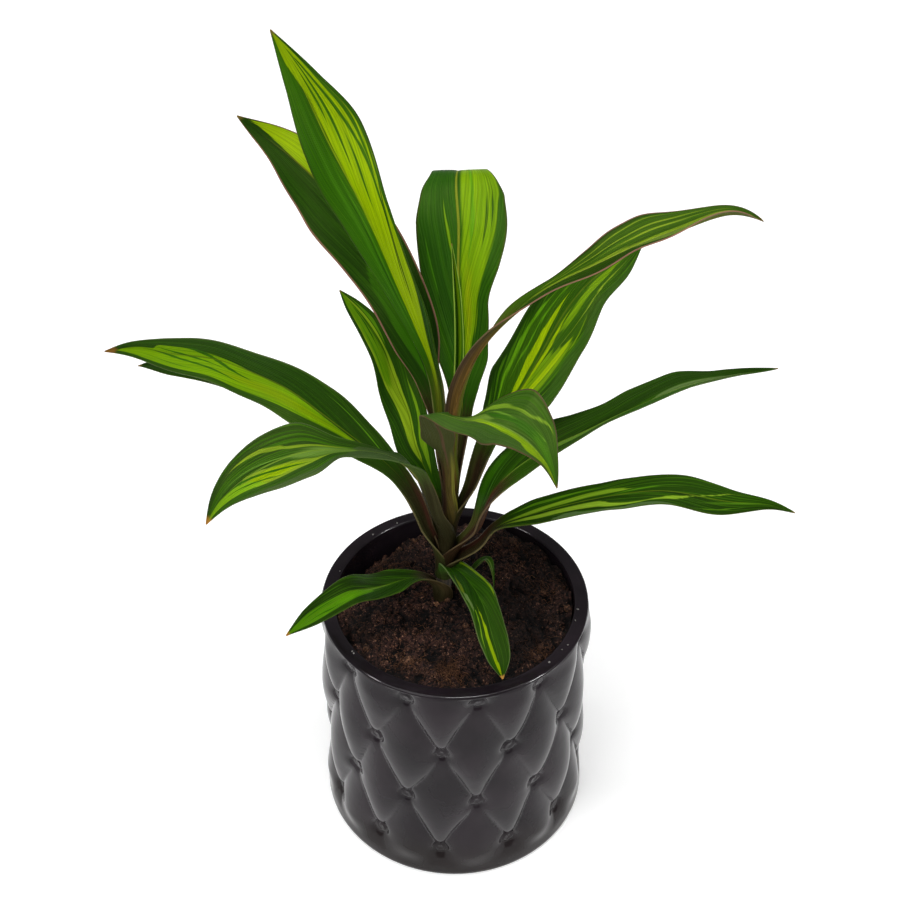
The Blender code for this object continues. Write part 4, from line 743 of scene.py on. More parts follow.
def leaf_surface(leaf, columns, count):
    """The leaf's middle surface, its normals, its half widths and how far the blade has opened."""
    rib, halves, facing = leaf_course(leaf, count)
    along = np.linspace(0, 1, len(rib))[:, None]
    across = np.array(columns)[None, :]
    half = np.where(across < 0, halves[:, :1], halves[:, 1:])
    forward = unit(np.gradient(rib, axis=0))
    facing = unit(facing - (facing * forward).sum(1, keepdims=True) * forward)
    side = np.cross(forward, facing)
    stalk = leaf["stalk"]
    leave_stem = smooth_step(along / (0.5 * stalk))
    open_up = smooth_step((along - 0.6 * stalk) / (0.2 + 0.4 * stalk))
    fold = np.atleast_1d(leaf["fold"])
    fold = np.interp(along, np.linspace(0, 1, len(fold)), fold)
    rise = np.radians(STALK_RISE * leave_stem + (fold - STALK_RISE) * open_up)
    curl = SHEATH_CURL + (STALK_CURL - SHEATH_CURL) * leave_stem
    curl = np.radians(curl + (BLADE_CURL - curl) * open_up)
    curl = np.where(np.abs(curl) < 1e-3, 1e-3, curl)
    reach = np.abs(across)
    out = (np.sin(rise + curl * reach) - np.sin(rise)) / curl
    lift = (np.cos(rise) - np.cos(rise + curl * reach)) / curl
    height, waves, phase = leaf["wave"]
    blade = np.clip((along - stalk) / (1 - stalk), 0, 1)
    turn = 2 * math.pi * (waves * blade + phase + 0.23 * (across > 0))
    wave = height * np.sin(turn) * np.sqrt(np.sin(math.pi * blade)) * reach**1.6
    middle = rib[:, None] + side[:, None] * (half * np.sign(across) * out)[..., None]
    middle = middle + facing[:, None] * (half * lift + wave)[..., None]
    normal = unit(np.cross(np.gradient(middle, axis=1), np.gradient(middle, axis=0)))
    return middle, normal, half, open_up


def finish_piece(made, node, slot):
    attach(made, "root")
    if node:
        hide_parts(node)
    return made


def loft(name, rings, start, end, surface, corners=None):
    """A closed smooth mesh from rings of points (mm), with a point at each end.

    Corners are texture places: how far round each quad's two sides stand, and how far along.
    """
    count, sides = rings.shape[:2]
    points = np.concatenate([rings.reshape(-1, 3), [start, end]]) * MM
    i, k = np.meshgrid(np.arange(count - 1), np.arange(sides), indexing="ij")
    j = (k + 1) % sides
    quads = np.stack([i * sides + k, i * sides + j, (i + 1) * sides + j, (i + 1) * sides + k], -1)
    faces = quads.reshape(-1, 4).tolist()
    first, last, top = count * sides, count * sides + 1, (count - 1) * sides
    faces += [(first, (k + 1) % sides, k) for k in range(sides)]
    faces += [(last, top + k, top + (k + 1) % sides) for k in range(sides)]
    mesh = bpy.data.meshes.new(name)
    mesh.from_pydata(points.tolist(), [], faces)
    if corners:
        left, right, along = corners
        across = np.stack([left[k], right[k], right[k], left[k]], -1)
        up = np.stack([along[i], along[i], along[i + 1], along[i + 1]], -1)
        places = np.stack([across, up], -1).reshape(-1, 2)
        ends = [[(right[k], v), (right[k], v), (left[k], v)] for v in (0.0, 1.0) for k in range(sides)]
        layer = mesh.uv_layers.new(name="leaf")
        layer.data.foreach_set("uv", np.concatenate([places.ravel(), np.ravel(ends)]))
    mesh.shade_smooth()
    mesh.materials.append(surface)
    made = bpy.data.objects.new(name, mesh)
    bpy.context.scene.collection.objects.link(made)
    return made


def clasp(surface, rib, columns, outside):
    """Wraps the foot of one side of a leaf round the stem, with rings added below it."""
    run = np.concatenate([[0.0], np.cumsum(np.linalg.norm(np.diff(rib, axis=0), axis=1))])
    rise = np.concatenate([np.linspace(-CLASP_DROP, 0, CLASP_RINGS, endpoint=False), run])
    down = (0, 0, 1) * np.minimum(rise, 0)[:, None, None]
    rings = np.concatenate([np.repeat(surface[:1], CLASP_RINGS, axis=0), surface]) + down
    spine = np.concatenate([np.repeat(rib[:1], CLASP_RINGS, axis=0), rib]) + down[:, 0]
    share = (rise + CLASP_DROP) / (CLASP_REACH + CLASP_DROP)
    east, north = rib[0][:2] - stem_axis(rib[0][2])[:2]
    turn = math.atan2(east, -north)
    for i in np.nonzero(share < 1)[0]:
        part = np.clip((share[i] - CLASP_HEIGHT) / (1 - CLASP_HEIGHT), 0, 1)
        spread = CLASP_TURN + (CLASP_TOP_TURN - CLASP_TURN) * part
        height = spine[i, 2]
        radius = stem_radius(height) + CLASP_GAP + CLASP_FLARE * (rise[i] + CLASP_DROP) + outside
        ring = ring_at(radius, turn - columns * spread, height) + (*stem_axis(height)[:2], 0)
        rings[i] += (ring - rings[i]) * (1 - smooth_step(share[i]))
    return rings, share


def build_leaf(name, leaf, surface):
    reach = np.linspace(0, 1, HALF_COLUMNS)
    reach = 0.5 * reach + 0.25 * (1 - np.cos(math.pi * reach))
    columns = np.concatenate([-reach[:0:-1], reach])
    middle, normal, half, open_up = leaf_surface(leaf, columns, LEAF_RINGS)
    rib = np.exp(-((np.abs(columns)[None, :] * half / RIB_WIDTH) ** 2)) * np.clip(half / 5, 0.15, 1)
    slim = np.clip(half / 3, 0.3, 1)
    top = (STALK_HALF + (BLADE_TOP - STALK_HALF) * open_up) * slim - RIB_GROOVE * rib * open_up
    bottom = (STALK_HALF + (BLADE_BOTTOM - STALK_HALF) * open_up) * slim + RIB_KEEL * rib
    upper = middle + normal * top[..., None]
    lower = middle - normal * bottom[..., None]
    along = np.linspace(0, 1, LEAF_RINGS)
    if name not in UNCLASPED:
        rib = middle[:, HALF_COLUMNS - 1]
        upper, share = clasp(upper, rib, columns, 0.0)
        lower, share = clasp(lower, rib, columns, 2 * STALK_HALF)
        along = np.concatenate([np.zeros(CLASP_RINGS), along])
    core = 0.5 * (upper + lower)
    right = core[:, -1] + unit(core[:, -1] - core[:, -2]) * EDGE_ROUND
    left = core[:, 0] + unit(core[:, 0] - core[:, 1]) * EDGE_ROUND
    rings = np.concatenate([upper, right[:, None], lower[:, ::-1], left[:, None]], axis=1)
    turns = np.concatenate([(1 + columns) / 4, [0.5], 0.5 + (1 - columns[::-1]) / 4, [1.0]])
    lefts, rights = turns.copy(), np.roll(turns, -1)
    lefts[-1] = rights[-1] = 0.0
    start, end = rings[0].mean(0), rings[-1].mean(0)
    made = loft(name + "_fine", rings, start, end, surface, (lefts, rights, along))
    return finish_piece(made, name, "leaf")


class Surface:
    """A Principled material and short calls that wire its nodes."""

    def __init__(self, name, **values):
        self.material = bpy.data.materials.new(name)
        self.material.use_nodes = True
        self.tree = self.material.node_tree
        self.shader = self.tree.nodes["Principled BSDF"]
        for key, value in values.items():
            self.shader.inputs[key.replace("_", " ")].default_value = value

    def wire(self, socket, value):
        if isinstance(value, bpy.types.NodeSocket):
            self.tree.links.new(value, socket)
        else:
            socket.default_value = value

    def node(self, kind, **settings):
        made = self.tree.nodes.new("ShaderNode" + kind)
        for key, value in settings.items():
            setattr(made, key, value)
        return made

    def math(self, operation, *values, clamp=False):
        made = self.node("Math", operation=operation, use_clamp=clamp)
        for socket, value in zip(made.inputs, values):
            self.wire(socket, value)
        return made.outputs[0]

    def mix(self, share, first, second, blend="MIX"):
        made = self.node("Mix", data_type="RGBA", blend_type=blend)
        for socket, value in zip((made.inputs[0], made.inputs[6], made.inputs[7]), (share, first, second)):
            self.wire(socket, value)
        return made.outputs[2]

    def step(self, value, low, high, start=0.0, end=1.0):
        """Rises smoothly from start to end while the value goes from low to high."""
        made = self.node("MapRange", interpolation_type="SMOOTHSTEP")
        for socket, each in zip(made.inputs, (value, low, high, start, end)):
            self.wire(socket, each)
        return made.outputs[0]

    def curve(self, value, points):
        """A smooth curve through points whose places and heights run from 0 to 1."""
        made = self.node("FloatCurve")
        self.wire(made.inputs["Value"], value)
        curve = made.mapping.curves[0]
        for index, (place, height) in enumerate(points):
            if index < 2:
                curve.points[index].location = place, height
            else:
                curve.points.new(place, height)
        for point in curve.points:
            point.handle_type = "AUTO_CLAMPED"
        made.mapping.update()
        return made.outputs[0]

    def join(self, x, y, z=0.0):
        made = self.node("CombineXYZ")
        for socket, value in zip(made.inputs, (x, y, z)):
            self.wire(socket, value)
        return made.outputs[0]

    def noise(self, place, scale, detail=2.0, roughness=0.5):
        made = self.node("TexNoise")
        self.wire(made.inputs["Vector"], place)
        made.inputs["Scale"].default_value = scale
        made.inputs["Detail"].default_value = detail
        made.inputs["Roughness"].default_value = roughness
        return made.outputs["Fac"]

    def bump(self, height, distance, strength=1.0, normal=None):
        made = self.node("Bump")
        made.inputs["Strength"].default_value = strength
        made.inputs["Distance"].default_value = distance
        self.wire(made.inputs["Height"], height)
        if normal:
            self.wire(made.inputs["Normal"], normal)
        return made.outputs[0]


def leaf_material(name, look, leaf, seed):
    s = Surface(name, Specular_IOR_Level=0.06, Specular_Tint=(0.9, 1.0, 0.3, 1.0))
    places = s.node("SeparateXYZ")
    s.wire(places.inputs[0], s.node("UVMap", uv_map="leaf").outputs[0])
    turn, along = places.outputs[0], places.outputs[1]
    folded = s.math("ABSOLUTE", s.math("MULTIPLY_ADD", turn, 4.0, -2.0))
    across = s.math("SUBTRACT", 1.0, folded)
    below = s.math("GREATER_THAN", turn, 0.5)

    away = s.math("ABSOLUTE", across)
    course = s.math("SUBTRACT", along, 0.35)
    fan = s.math("MULTIPLY", course, s.math("MULTIPLY_ADD", course, -VEIN_BEND, VEIN_SLOPE))
    vein = s.math("MULTIPLY_ADD", s.math("SIGN", across), 7.3, s.math("SUBTRACT", away, fan))

    def grain(stretch, width, detail=2.0, drift=0.0):
        """Noise drawn out along the leaf's veins, different for every leaf."""
        place = s.join(s.math("MULTIPLY", along, stretch), s.math("MULTIPLY", vein, width), seed * 3.7 + drift)
        return s.noise(place, 1.0, detail)

    sway = s.math("SUBTRACT", grain(2.5, 9.0, 1.0), 0.5)
    fray = s.math("SUBTRACT", grain(2.0, 16.0, 1.0), 0.5)
    u = s.math("MULTIPLY_ADD", sway, look.get("sway", 0.12), across)
    u = s.math("MULTIPLY_ADD", u, 0.5, 0.5)
    v = s.math("MULTIPLY_ADD", fray, look.get("fray", 0.05), along)

    colour = s.mix(s.step(across, -0.04, 0.04), srgb(*look["left"]), srgb(*look["right"]))
    colour = s.mix(s.math("MULTIPLY", s.step(grain(3.0, 5.0), 0.4, 0.75), 0.25), colour, srgb(*LEAF_MID))
    thin = s.step(grain(2.6, 15.0, 1.0, 20.0), 0.54, 0.62)
    colour = s.mix(s.math("MULTIPLY", thin, look["streaks"]), colour, srgb(*STREAK))
    for tint, softness, rows in look["bands"]:
        low = s.curve(v, [(place, 0.5 + 0.5 * low) for place, low, high in rows])
        high = s.curve(v, [(place, 0.5 + 0.5 * high) for place, low, high in rows])
        inside = s.math("MINIMUM", s.math("SUBTRACT", u, low), s.math("SUBTRACT", high, u))
        colour = s.mix(s.step(inside, 0.0, 0.35 * softness), colour, srgb(*tint))
    shade = s.step(grain(2.2, 21.0, 1.0, 40.0), 0.52, 0.66, 0.0, 0.55)
    colour = s.mix(shade, colour, s.mix(1.0, colour, (0.66, 0.8, 0.6, 1), "MULTIPLY"))
    light = s.step(grain(2.4, 17.0, 1.0, 60.0), 0.56, 0.7, 0.0, 0.5)
    colour = s.mix(light, colour, s.mix(1.0, colour, (1.4, 1.3, 1.15, 1), "MULTIPLY"))
    veins = grain(3.0, 34.0, 3.0)
    colour = s.mix(s.step(veins, 0.42, 0.68, 0.0, 0.6), colour, s.mix(1.0, colour, (0.45, 0.5, 0.5, 1), "MULTIPLY"))
    ribs = s.math("MULTIPLY_ADD", s.math("SINE", s.math("MULTIPLY", vein, RIB_PITCH)), 0.5, 0.5)
    colour = s.mix(s.math("MULTIPLY", ribs, 0.2), colour, s.mix(1.0, colour, (0.55, 0.62, 0.6, 1), "MULTIPLY"))
    ribbed = s.step(away, 0.012, 0.04, 1.0, 0.0)
    ribbed = s.math("MULTIPLY", ribbed, s.step(along, 0.8, 0.97, 0.8, 0.0))
    colour = s.mix(ribbed, colour, srgb(*look["rib"]))

    under = s.mix(look.get("under_share", 0.45), srgb(*look.get("under", LEAF_GREY)), s.mix(0.6, colour, srgb(*LEAF_GREY)))
    keel = s.step(away, 0.03, 0.14, 0.8, 0.0)
    under = s.mix(keel, under, srgb(*look.get("keel", (118, 116, 56))))
    colour = s.mix(below, colour, under)

    stalk = leaf["stalk"]
    lagging = s.math("MULTIPLY", s.math("MAXIMUM", s.step(across, -0.35, 0.05), below), -look.get("lag", 0.0))
    reached = s.math("MULTIPLY_ADD", fray, 0.1, s.math("ADD", along, lagging))
    petiole = s.step(reached, 0.85 * stalk, 1.15 * stalk + 0.03, 1.0, 0.0)
    left, middle, right = look.get("stalk", BROWN_STALK)
    bark = s.mix(s.step(across, -0.7, -0.2), srgb(*left), srgb(*middle))
    bark = s.mix(s.step(across, 0.2, 0.7), bark, srgb(*right))
    bark = s.mix(s.step(grain(4.0, 9.0), 0.4, 0.65, 0.0, 0.55), bark, srgb(*STALK_STREAK_AND_SHADE))
    bark = s.mix(s.step(away, 0.94, 0.98, 0.0, 0.35), bark, srgb(*SHEATH_EDGE))
    # Painted shade: each leaf's foot, where it clasps the stem near the soil, is darkened
    bark = s.mix(s.step(along, 0.0, 0.09, 0.7, 0.0), bark, srgb(*STALK_STREAK_AND_SHADE))
    colour = s.mix(petiole, colour, bark)

    margin = s.math("MULTIPLY", s.step(away, 0.94, 0.985), s.step(along, 0.0, 0.12))
    margin = s.math("MULTIPLY", margin, s.math("MULTIPLY_ADD", petiole, -0.85, 0.85))
    colour = s.mix(margin, colour, srgb(*look["margin"]))
    start = look.get("tip_start", 0.985)
    tip = s.step(s.math("MULTIPLY_ADD", fray, 0.03, along), start, start + 0.012)
    colour = s.mix(tip, colour, srgb(*look.get("tip", (120, 96, 44))))

    s.wire(s.shader.inputs["Base Color"], colour)
    rough = s.step(grain(6.0, 12.0), 0.3, 0.7, 0.36, 0.48)
    s.wire(s.shader.inputs["Roughness"], s.math("MULTIPLY_ADD", below, 0.12, rough))
    s.wire(s.shader.inputs["Normal"], s.bump(s.math("MULTIPLY_ADD", ribs, -0.3, veins), 0.0005, 0.7))
    return s.material


def quilt(turn, height):
    """How far the quilted wall stands out at turns about the pot and heights (arrays)."""
    height = height + UNEVEN * np.sin(5 * turn + 1.0 + height / 19) * np.sin(3 * turn + height / 11)
    turn = turn + UNEVEN / BODY_RADIUS * np.sin(7 * turn + height / 14)
    columns = (turn - FIRST_BUTTON_TURN) * BUTTON_COLUMNS / (2 * math.pi)
    rows = (TOP_BUTTON_HEIGHT - height) / (2 * ROW_PITCH)
    falling, rising = (rows + columns) % 1, (rows - columns) % 1
    crease = np.sin(math.pi * falling**PILLOW_SAG) * np.sin(math.pi * rising**PILLOW_SAG)
    fade_foot = smooth_step((height - 6.0) / 12.0)
    fade_rim = 0.25 + 0.75 * smooth_step((POT_HEIGHT - height) / 12.0)
    bulge = QUILT_DEPTH * (crease**0.55 - 0.62) * fade_foot * fade_rim
    row = np.clip(np.round((TOP_BUTTON_HEIGHT - height) / ROW_PITCH), 0, BUTTON_ROWS - 1)
    column = np.round(columns - 0.5 * (row % 2)) + 0.5 * (row % 2)
    aside = (columns - column) * 2 * math.pi / BUTTON_COLUMNS * BODY_RADIUS
    above = height - (TOP_BUTTON_HEIGHT - row * ROW_PITCH)
    away = np.hypot(aside, above)
    dimple = -DIMPLE_DEPTH * np.exp(-((away / DIMPLE_WIDTH) ** 2))
    dome = BUTTON_DOME * np.sqrt(np.clip(1 - (away / BUTTON_RADIUS) ** 2, 0, 1))
    groove = -BUTTON_GROOVE * np.exp(-(((away - BUTTON_RADIUS - 0.3) / 0.7) ** 2))
    return bulge + (dimple + dome + groove) * fade_foot


def wall_radius(height):
    """The outer wall's radius without its quilting."""
    share = height / POT_HEIGHT
    ends = FOOT_RADIUS + (RIM_RADIUS - FOOT_RADIUS) * share
    return ends + (BODY_RADIUS - ends) * np.sin(math.pi * share)


def inner_radius(height):
    share = (height - FLOOR) / (POT_HEIGHT - FLOOR)
    return INNER_FOOT_RADIUS + (RIM_RADIUS - WALL - INNER_FOOT_RADIUS) * share


def eased(count):
    """Steps from 0 to 1, closer together at both ends."""
    even = np.arange(count) / count
    return 0.5 * even + 0.25 * (1 - np.cos(math.pi * even))


def ring_at(radius, turns, height):
    """Points round the pot's axis."""
    radius = np.broadcast_to(radius, turns.shape)
    return np.stack([radius * np.sin(turns), -radius * np.cos(turns), np.full(turns.shape, height)], -1)


def build_pot(surface):
    half_column = math.pi / BUTTON_COLUMNS
    ease = eased(STEPS_PER_HALF_COLUMN)
    turns = FIRST_BUTTON_TURN + half_column * np.add.outer(np.arange(2 * BUTTON_COLUMNS), ease).ravel()
    falls = ROW_PITCH * np.add.outer(np.arange(BUTTON_ROWS), eased(STEPS_PER_ROW)).ravel()
    heights = TOP_BUTTON_HEIGHT - falls
    heights = np.concatenate([[FOOT_CHAMFER], heights[heights > 2.2][::-1], np.linspace(128.6, 133.4, 9)])
    rings = [ring_at(FOOT_RADIUS - FOOT_CHAMFER, turns, 0.0), ring_at(FOOT_RADIUS - 0.7, turns, 0.35)]
    for height in heights:
        rings.append(ring_at(wall_radius(height) + quilt(turns, np.full(turns.shape, height)), turns, height))
    for part in np.linspace(0.0, 90.0, 6):
        lean = math.radians(part)
        reach = RIM_RADIUS - RIM_ROUND * (1 - math.cos(lean))
        rings.append(ring_at(reach, turns, POT_HEIGHT - RIM_ROUND * (1 - math.sin(lean))))
    for part in np.linspace(90.0, 0.0, 6):
        lean = math.radians(part)
        reach = RIM_RADIUS - WALL + RIM_ROUND * (1 - math.cos(lean))
        rings.append(ring_at(reach, turns, POT_HEIGHT - RIM_ROUND * (1 - math.sin(lean))))
    for height in (130.0, 110.0, 60.0, FLOOR):
        rings.append(ring_at(inner_radius(height), turns, height))
    made = loft("pot_glazed", np.array(rings), (0, 0, 0), (0, 0, FLOOR), surface)
    return finish_piece(made, "pot", "pot")


def soil_height(x, y):
    """The soil's surface: a low crown, crumbly lumps, and a hollow beside the wall at the back left."""
    share = min(1.0, math.hypot(x, y) / (RIM_RADIUS - WALL))
    turn = math.atan2(x, -y)
    away = abs((turn - HOLLOW_TURN + math.pi) % (2 * math.pi) - math.pi)
    hollow = SOIL_HOLLOW * math.exp(-((away / HOLLOW_SPREAD) ** 2)) * share**6
    coarse = noise.noise(Vector((x / 17, y / 17, 3.0)))
    fine = noise.noise(Vector((x / 7, y / 7, 8.0)))
    return SOIL_LEVEL + SOIL_CROWN * (1 - share**2) + SOIL_LUMP * (coarse + 0.5 * fine) - hollow


def crumble(x, y):
    """How far the clods and crumbs stand above the hollows between them."""
    shift = 2.5 * noise.noise(Vector((x / 7, y / 7, 40.0)))
    rise = 0.4 * noise.noise(Vector((x / 0.9, y / 0.9, 5.0)))
    for pitch, tall in CLOD_SIZES:
        away = noise.voronoi(Vector(((x + shift) / pitch, (y - shift) / pitch, pitch)))[0][0]
        rise += tall * max(0.0, 1 - (away / CLOD_REACH) ** 2)
    return rise


def crumbly_height(x, y):
    return soil_height(x, y) + crumble(x, y) - RELIEF_MEAN


def build_soil(surface):
    turns = 2 * math.pi * np.arange(SOIL_SIDES) / SOIL_SIDES
    low = SOIL_LEVEL - SOIL_HOLLOW - 10
    rings = [ring_at(inner_radius(height) - GAP, turns, height) for height in (FLOOR + GAP, low)]
    outer = inner_radius(SOIL_LEVEL - SOIL_HOLLOW) - GAP
    for i in range(SOIL_RINGS):
        ring = ring_at(outer * (1 - i / SOIL_RINGS), turns, 0.0)
        ring[:, 2] = [crumbly_height(x, y) for x, y in ring[:, :2]]
        rings.append(ring)
    made = loft("soil_crumbly", np.array(rings), (0, 0, FLOOR + GAP), (0, 0, crumbly_height(0, 0)), surface)
    # The relief height is kept for the soil's painted shade in its hollows
    relief = made.data.attributes.new("relief", "FLOAT", "POINT")
    relief.data.foreach_set("value", [crumble(v.co.x / MM, v.co.y / MM) for v in made.data.vertices])
    return finish_piece(made, "soil", "soil")


def stem_axis(height):
    share = (height - STEM_FOOT[2]) / (STEM_TOP[2] - STEM_FOOT[2])
    return [STEM_FOOT[k] + (STEM_TOP[k] - STEM_FOOT[k]) * share for k in range(3)]


def stem_radius(height):
    share = (height - STEM_FOOT[2]) / (STEM_TOP[2] - STEM_FOOT[2])
    return STEM_RADIUS + (STEM_TOP_RADIUS - STEM_RADIUS) * share


def build_stem(surface):
    turns = 2 * math.pi * np.arange(STEM_SIDES) / STEM_SIDES
    rings = []
    for share in np.linspace(0, 1, STEM_RINGS):
        x, y, z = stem_axis(STEM_FOOT[2] + (STEM_TOP[2] - STEM_FOOT[2]) * share)
        sway = 0.8 * np.sin(turns + z / 9)
        scar = np.maximum(0.0, np.cos(2 * math.pi * (z + sway) / SCAR_PITCH)) ** 6
        rings.append(ring_at(stem_radius(z) + STEM_SCAR * scar, turns, z) + (x, y, 0))
    made = loft("stem_scarred", np.array(rings), STEM_FOOT, STEM_TOP, surface)
    return finish_piece(made, "stem", "stem")


def scatter(name, count, sizes, detail, draw, surface, squash=0.7, place=None):
    """Irregular crumbs lying in the soil, joined in one mesh."""
    shape = bmesh.new()
    bmesh.ops.create_icosphere(shape, subdivisions=detail, radius=1.0)
    shape.verts.ensure_lookup_table()
    ball = np.array([v.co for v in shape.verts])
    faces = np.array([[v.index for v in face.verts] for face in shape.faces])
    shape.free()
    points, loops = [], []
    for n in range(count):
        x, y, *level = place(n) if place else spot(draw)
        size = sizes[0] * (sizes[1] / sizes[0]) ** draw.random()
        stretch = np.array([1.0, draw.uniform(0.6, 1.0), draw.uniform(0.5, squash)])
        lump = ball * (1 + draw.normal(0, 0.16, (len(ball), 1))) * size * stretch
        spin, tip = draw.uniform(0, 2 * math.pi), draw.uniform(-0.6, 0.6)
        c, s, d, e = math.cos(spin), math.sin(spin), math.cos(tip), math.sin(tip)
        lump = lump @ np.array([[c, s, 0], [-s, c, 0], [0, 0, 1]]) @ np.array([[1, 0, 0], [0, d, e], [0, -e, d]])
        points.append(lump + (x, y, level[0] if level else crumbly_height(x, y) + 0.25 * size))
        loops.append(faces + n * len(ball))
    mesh = bpy.data.meshes.new(name)
    mesh.from_pydata((np.concatenate(points) * MM).tolist(), [], np.concatenate(loops).tolist())
    mesh.shade_smooth()
    mesh.materials.append(surface)
    made = bpy.data.objects.new(name, mesh)
    bpy.context.scene.collection.objects.link(made)
    return finish_piece(made, None, "pot" if place and len(place(0)) > 2 else "soil")


def spot(draw):
    """A random point of the soil, kept off the pot's wall."""
    reach = 56.0 * math.sqrt(draw.random())
    turn = draw.uniform(0, 2 * math.pi)
    return reach * math.sin(turn), -reach * math.cos(turn)


def clump(draw):
    """A random point in one of the matted clumps of fibres."""
    x, y, spread = FIBRE_CLUMPS[draw.integers(len(FIBRE_CLUMPS))]
    return x + draw.normal(0, spread), y + draw.normal(0, spread)


def build_fibres(name, count, reach, thick, draw, surface, place=None):
    """Thin bent root fibres lying on the soil, joined in one mesh."""
    sides = 3
    points, loops = [], []
    base = 0
    for n in range(count):
        x, y = place(draw) if place else spot(draw)
        heading = draw.uniform(0, 2 * math.pi)
        length = draw.uniform(*reach)
        steps = 9
        bend = draw.normal(0, 0.5)
        line = []
        arch = draw.uniform(0.1, 0.9)
        for k in range(steps):
            if math.hypot(x, y) > 56.5:
                heading += 1.2
            line.append((x, y, crumbly_height(x, y) + 0.35 + arch * math.sin(math.pi * k / (steps - 1))))
            x += length / steps * math.cos(heading)
            y += length / steps * math.sin(heading)
            if math.hypot(x, y) > 57.0:
                x, y = x * 57.0 / math.hypot(x, y), y * 57.0 / math.hypot(x, y)
            heading += bend + draw.normal(0, 0.35)
        line = np.array(line)
        forward = unit(np.gradient(line, axis=0) + 1e-6)
        aside = unit(np.cross(forward, (0.1, 0.2, 1.0)))
        above = np.cross(aside, forward)
        radius = draw.uniform(*thick) * np.linspace(1.0, 0.4, steps)[:, None]
        for k in range(sides):
            turn = 2 * math.pi * k / sides
            points.append(line + radius * (aside * math.cos(turn) + above * math.sin(turn)))
        for k in range(sides):
            a, b = base + k * steps, base + (k + 1) % sides * steps
            loops += [(a + i, b + i, b + i + 1, a + i + 1) for i in range(steps - 1)]
        loops.append([base + k * steps for k in range(sides)][::-1])
        loops.append([base + k * steps + steps - 1 for k in range(sides)])
        base += sides * steps
    mesh = bpy.data.meshes.new(name)
    mesh.from_pydata((np.concatenate(points) * MM).tolist(), [], loops)
    mesh.shade_smooth()
    mesh.materials.append(surface)
    made = bpy.data.objects.new(name, mesh)
    bpy.context.scene.collection.objects.link(made)
    return finish_piece(made, None, "soil")


def glaze_material():
    s = Surface("pot_glaze", Specular_IOR_Level=0.18)
    place = s.node("NewGeometry").outputs["Position"]
    height = s.node("SeparateXYZ")
    s.wire(height.inputs[0], place)
    cloud = s.noise(place, 35.0, 3.0)
    colour = s.mix(s.step(cloud, 0.35, 0.7), srgb(24, 19, 23), srgb(35, 28, 33))
    low = s.step(s.math("MULTIPLY_ADD", cloud, 0.02, height.outputs[2]), 0.018, 0.045, 1.0, 0.0)
    colour = s.mix(s.math("MULTIPLY", low, 0.6), colour, srgb(34, 29, 26))
    s.wire(s.shader.inputs["Base Color"], colour)
    s.wire(s.shader.inputs["Roughness"], s.step(s.noise(place, 120.0, 2.0), 0.3, 0.7, 0.07, 0.13))
    waves = s.math("ADD", s.noise(place, 60.0, 1.0), s.math("MULTIPLY", s.noise(place, 380.0, 2.0), 0.12))
    s.wire(s.shader.inputs["Normal"], s.bump(waves, 0.0008, 0.4))
    return s.material


def soil_material(name, dark, mid, light, fine, hollows=False):
    """Soil: black between its brown crumbs, in patches that differ and darker towards the right side; with hollows set,
    painted shade turns its hollows near black.
    """
    s = Surface(name, Roughness=0.9, Specular_IOR_Level=0.1)
    place = s.node("NewGeometry").outputs["Position"]
    grit = s.noise(place, 600.0 * fine, 5.0, 0.7)
    patch = s.noise(place, 55.0, 2.0)
    lit = s.math("MULTIPLY", s.step(grit, 0.4, 0.6), s.step(patch, 0.38, 0.6, 0.35, 1.0))
    across = s.node("SeparateXYZ")
    s.wire(across.inputs[0], place)
    # Darker towards the right side of the pot, along a noisy edge
    left_to_right = s.math("MULTIPLY_ADD", patch, 0.05, across.outputs[0])
    lit = s.math("MULTIPLY", lit, s.step(left_to_right, 0.0, 0.06, 1.0, 0.6))
    if hollows:
        # Painted shade: where the relief is low, between clods and crumbs, the soil turns near black
        relief = s.node("Attribute", attribute_name="relief").outputs["Fac"]
        lit = s.math("MULTIPLY", lit, s.step(relief, 1.5, 3.0, 0.03, 1.0))
    colour = s.mix(lit, srgb(*dark), srgb(*mid))
    speck = s.math("MULTIPLY", s.step(s.noise(place, 850.0 * fine, 3.0), 0.58, 0.7), lit)
    colour = s.mix(speck, colour, srgb(*light))
    s.wire(s.shader.inputs["Base Color"], colour)
    s.wire(s.shader.inputs["Normal"], s.bump(grit, 0.0012, 0.9))
    return s.material


def stem_material():
    s = Surface("stem_bark", Roughness=0.75)
    place = s.node("NewGeometry").outputs["Position"]
    height = s.node("SeparateXYZ")
    s.wire(height.inputs[0], place)
    streak = s.noise(s.join(s.math("MULTIPLY", height.outputs[0], 9.0), s.math("MULTIPLY", height.outputs[1], 9.0),
                            height.outputs[2]), 90.0, 4.0)
    colour = s.mix(s.step(streak, 0.35, 0.7), srgb(44, 36, 25), srgb(88, 74, 50))
    # Painted shade: the stem darkens just above the soil
    colour = s.mix(s.step(height.outputs[2], 0.13, 0.146, 0.7, 0.0), colour, srgb(26, 18, 12))
    green = s.step(height.outputs[2], 0.15, 0.2)
    colour = s.mix(s.math("MULTIPLY", green, 0.5), colour, srgb(66, 74, 36))
    s.wire(s.shader.inputs["Base Color"], colour)
    s.wire(s.shader.inputs["Normal"], s.bump(streak, 0.0004, 0.7))
    return s.material


def add_camera():
    data = bpy.data.cameras.new("camera")
    data.lens = 56.28
    data.sensor_width = 36.0
    data.clip_end = 50.0
    made = bpy.data.objects.new("camera", data)
    made.location = (0.0, -0.49064, 0.63428)
    made.rotation_euler = (math.radians(50.41), 0.0, math.radians(0.285))
    bpy.context.scene.collection.objects.link(made)
    bpy.context.scene.camera = made


def add_area(name, place, target, size, power, glint=False):
    data = bpy.data.lights.new(name, "AREA")
    data.shape = "RECTANGLE"
    data.size, data.size_y = size
    data.energy = power
    made = bpy.data.objects.new(name, data)
    made.location = place
    made.rotation_euler = (Vector(target) - Vector(place)).to_track_quat("-Z", "Y").to_euler()
    made.visible_diffuse = not glint
    bpy.context.scene.collection.objects.link(made)


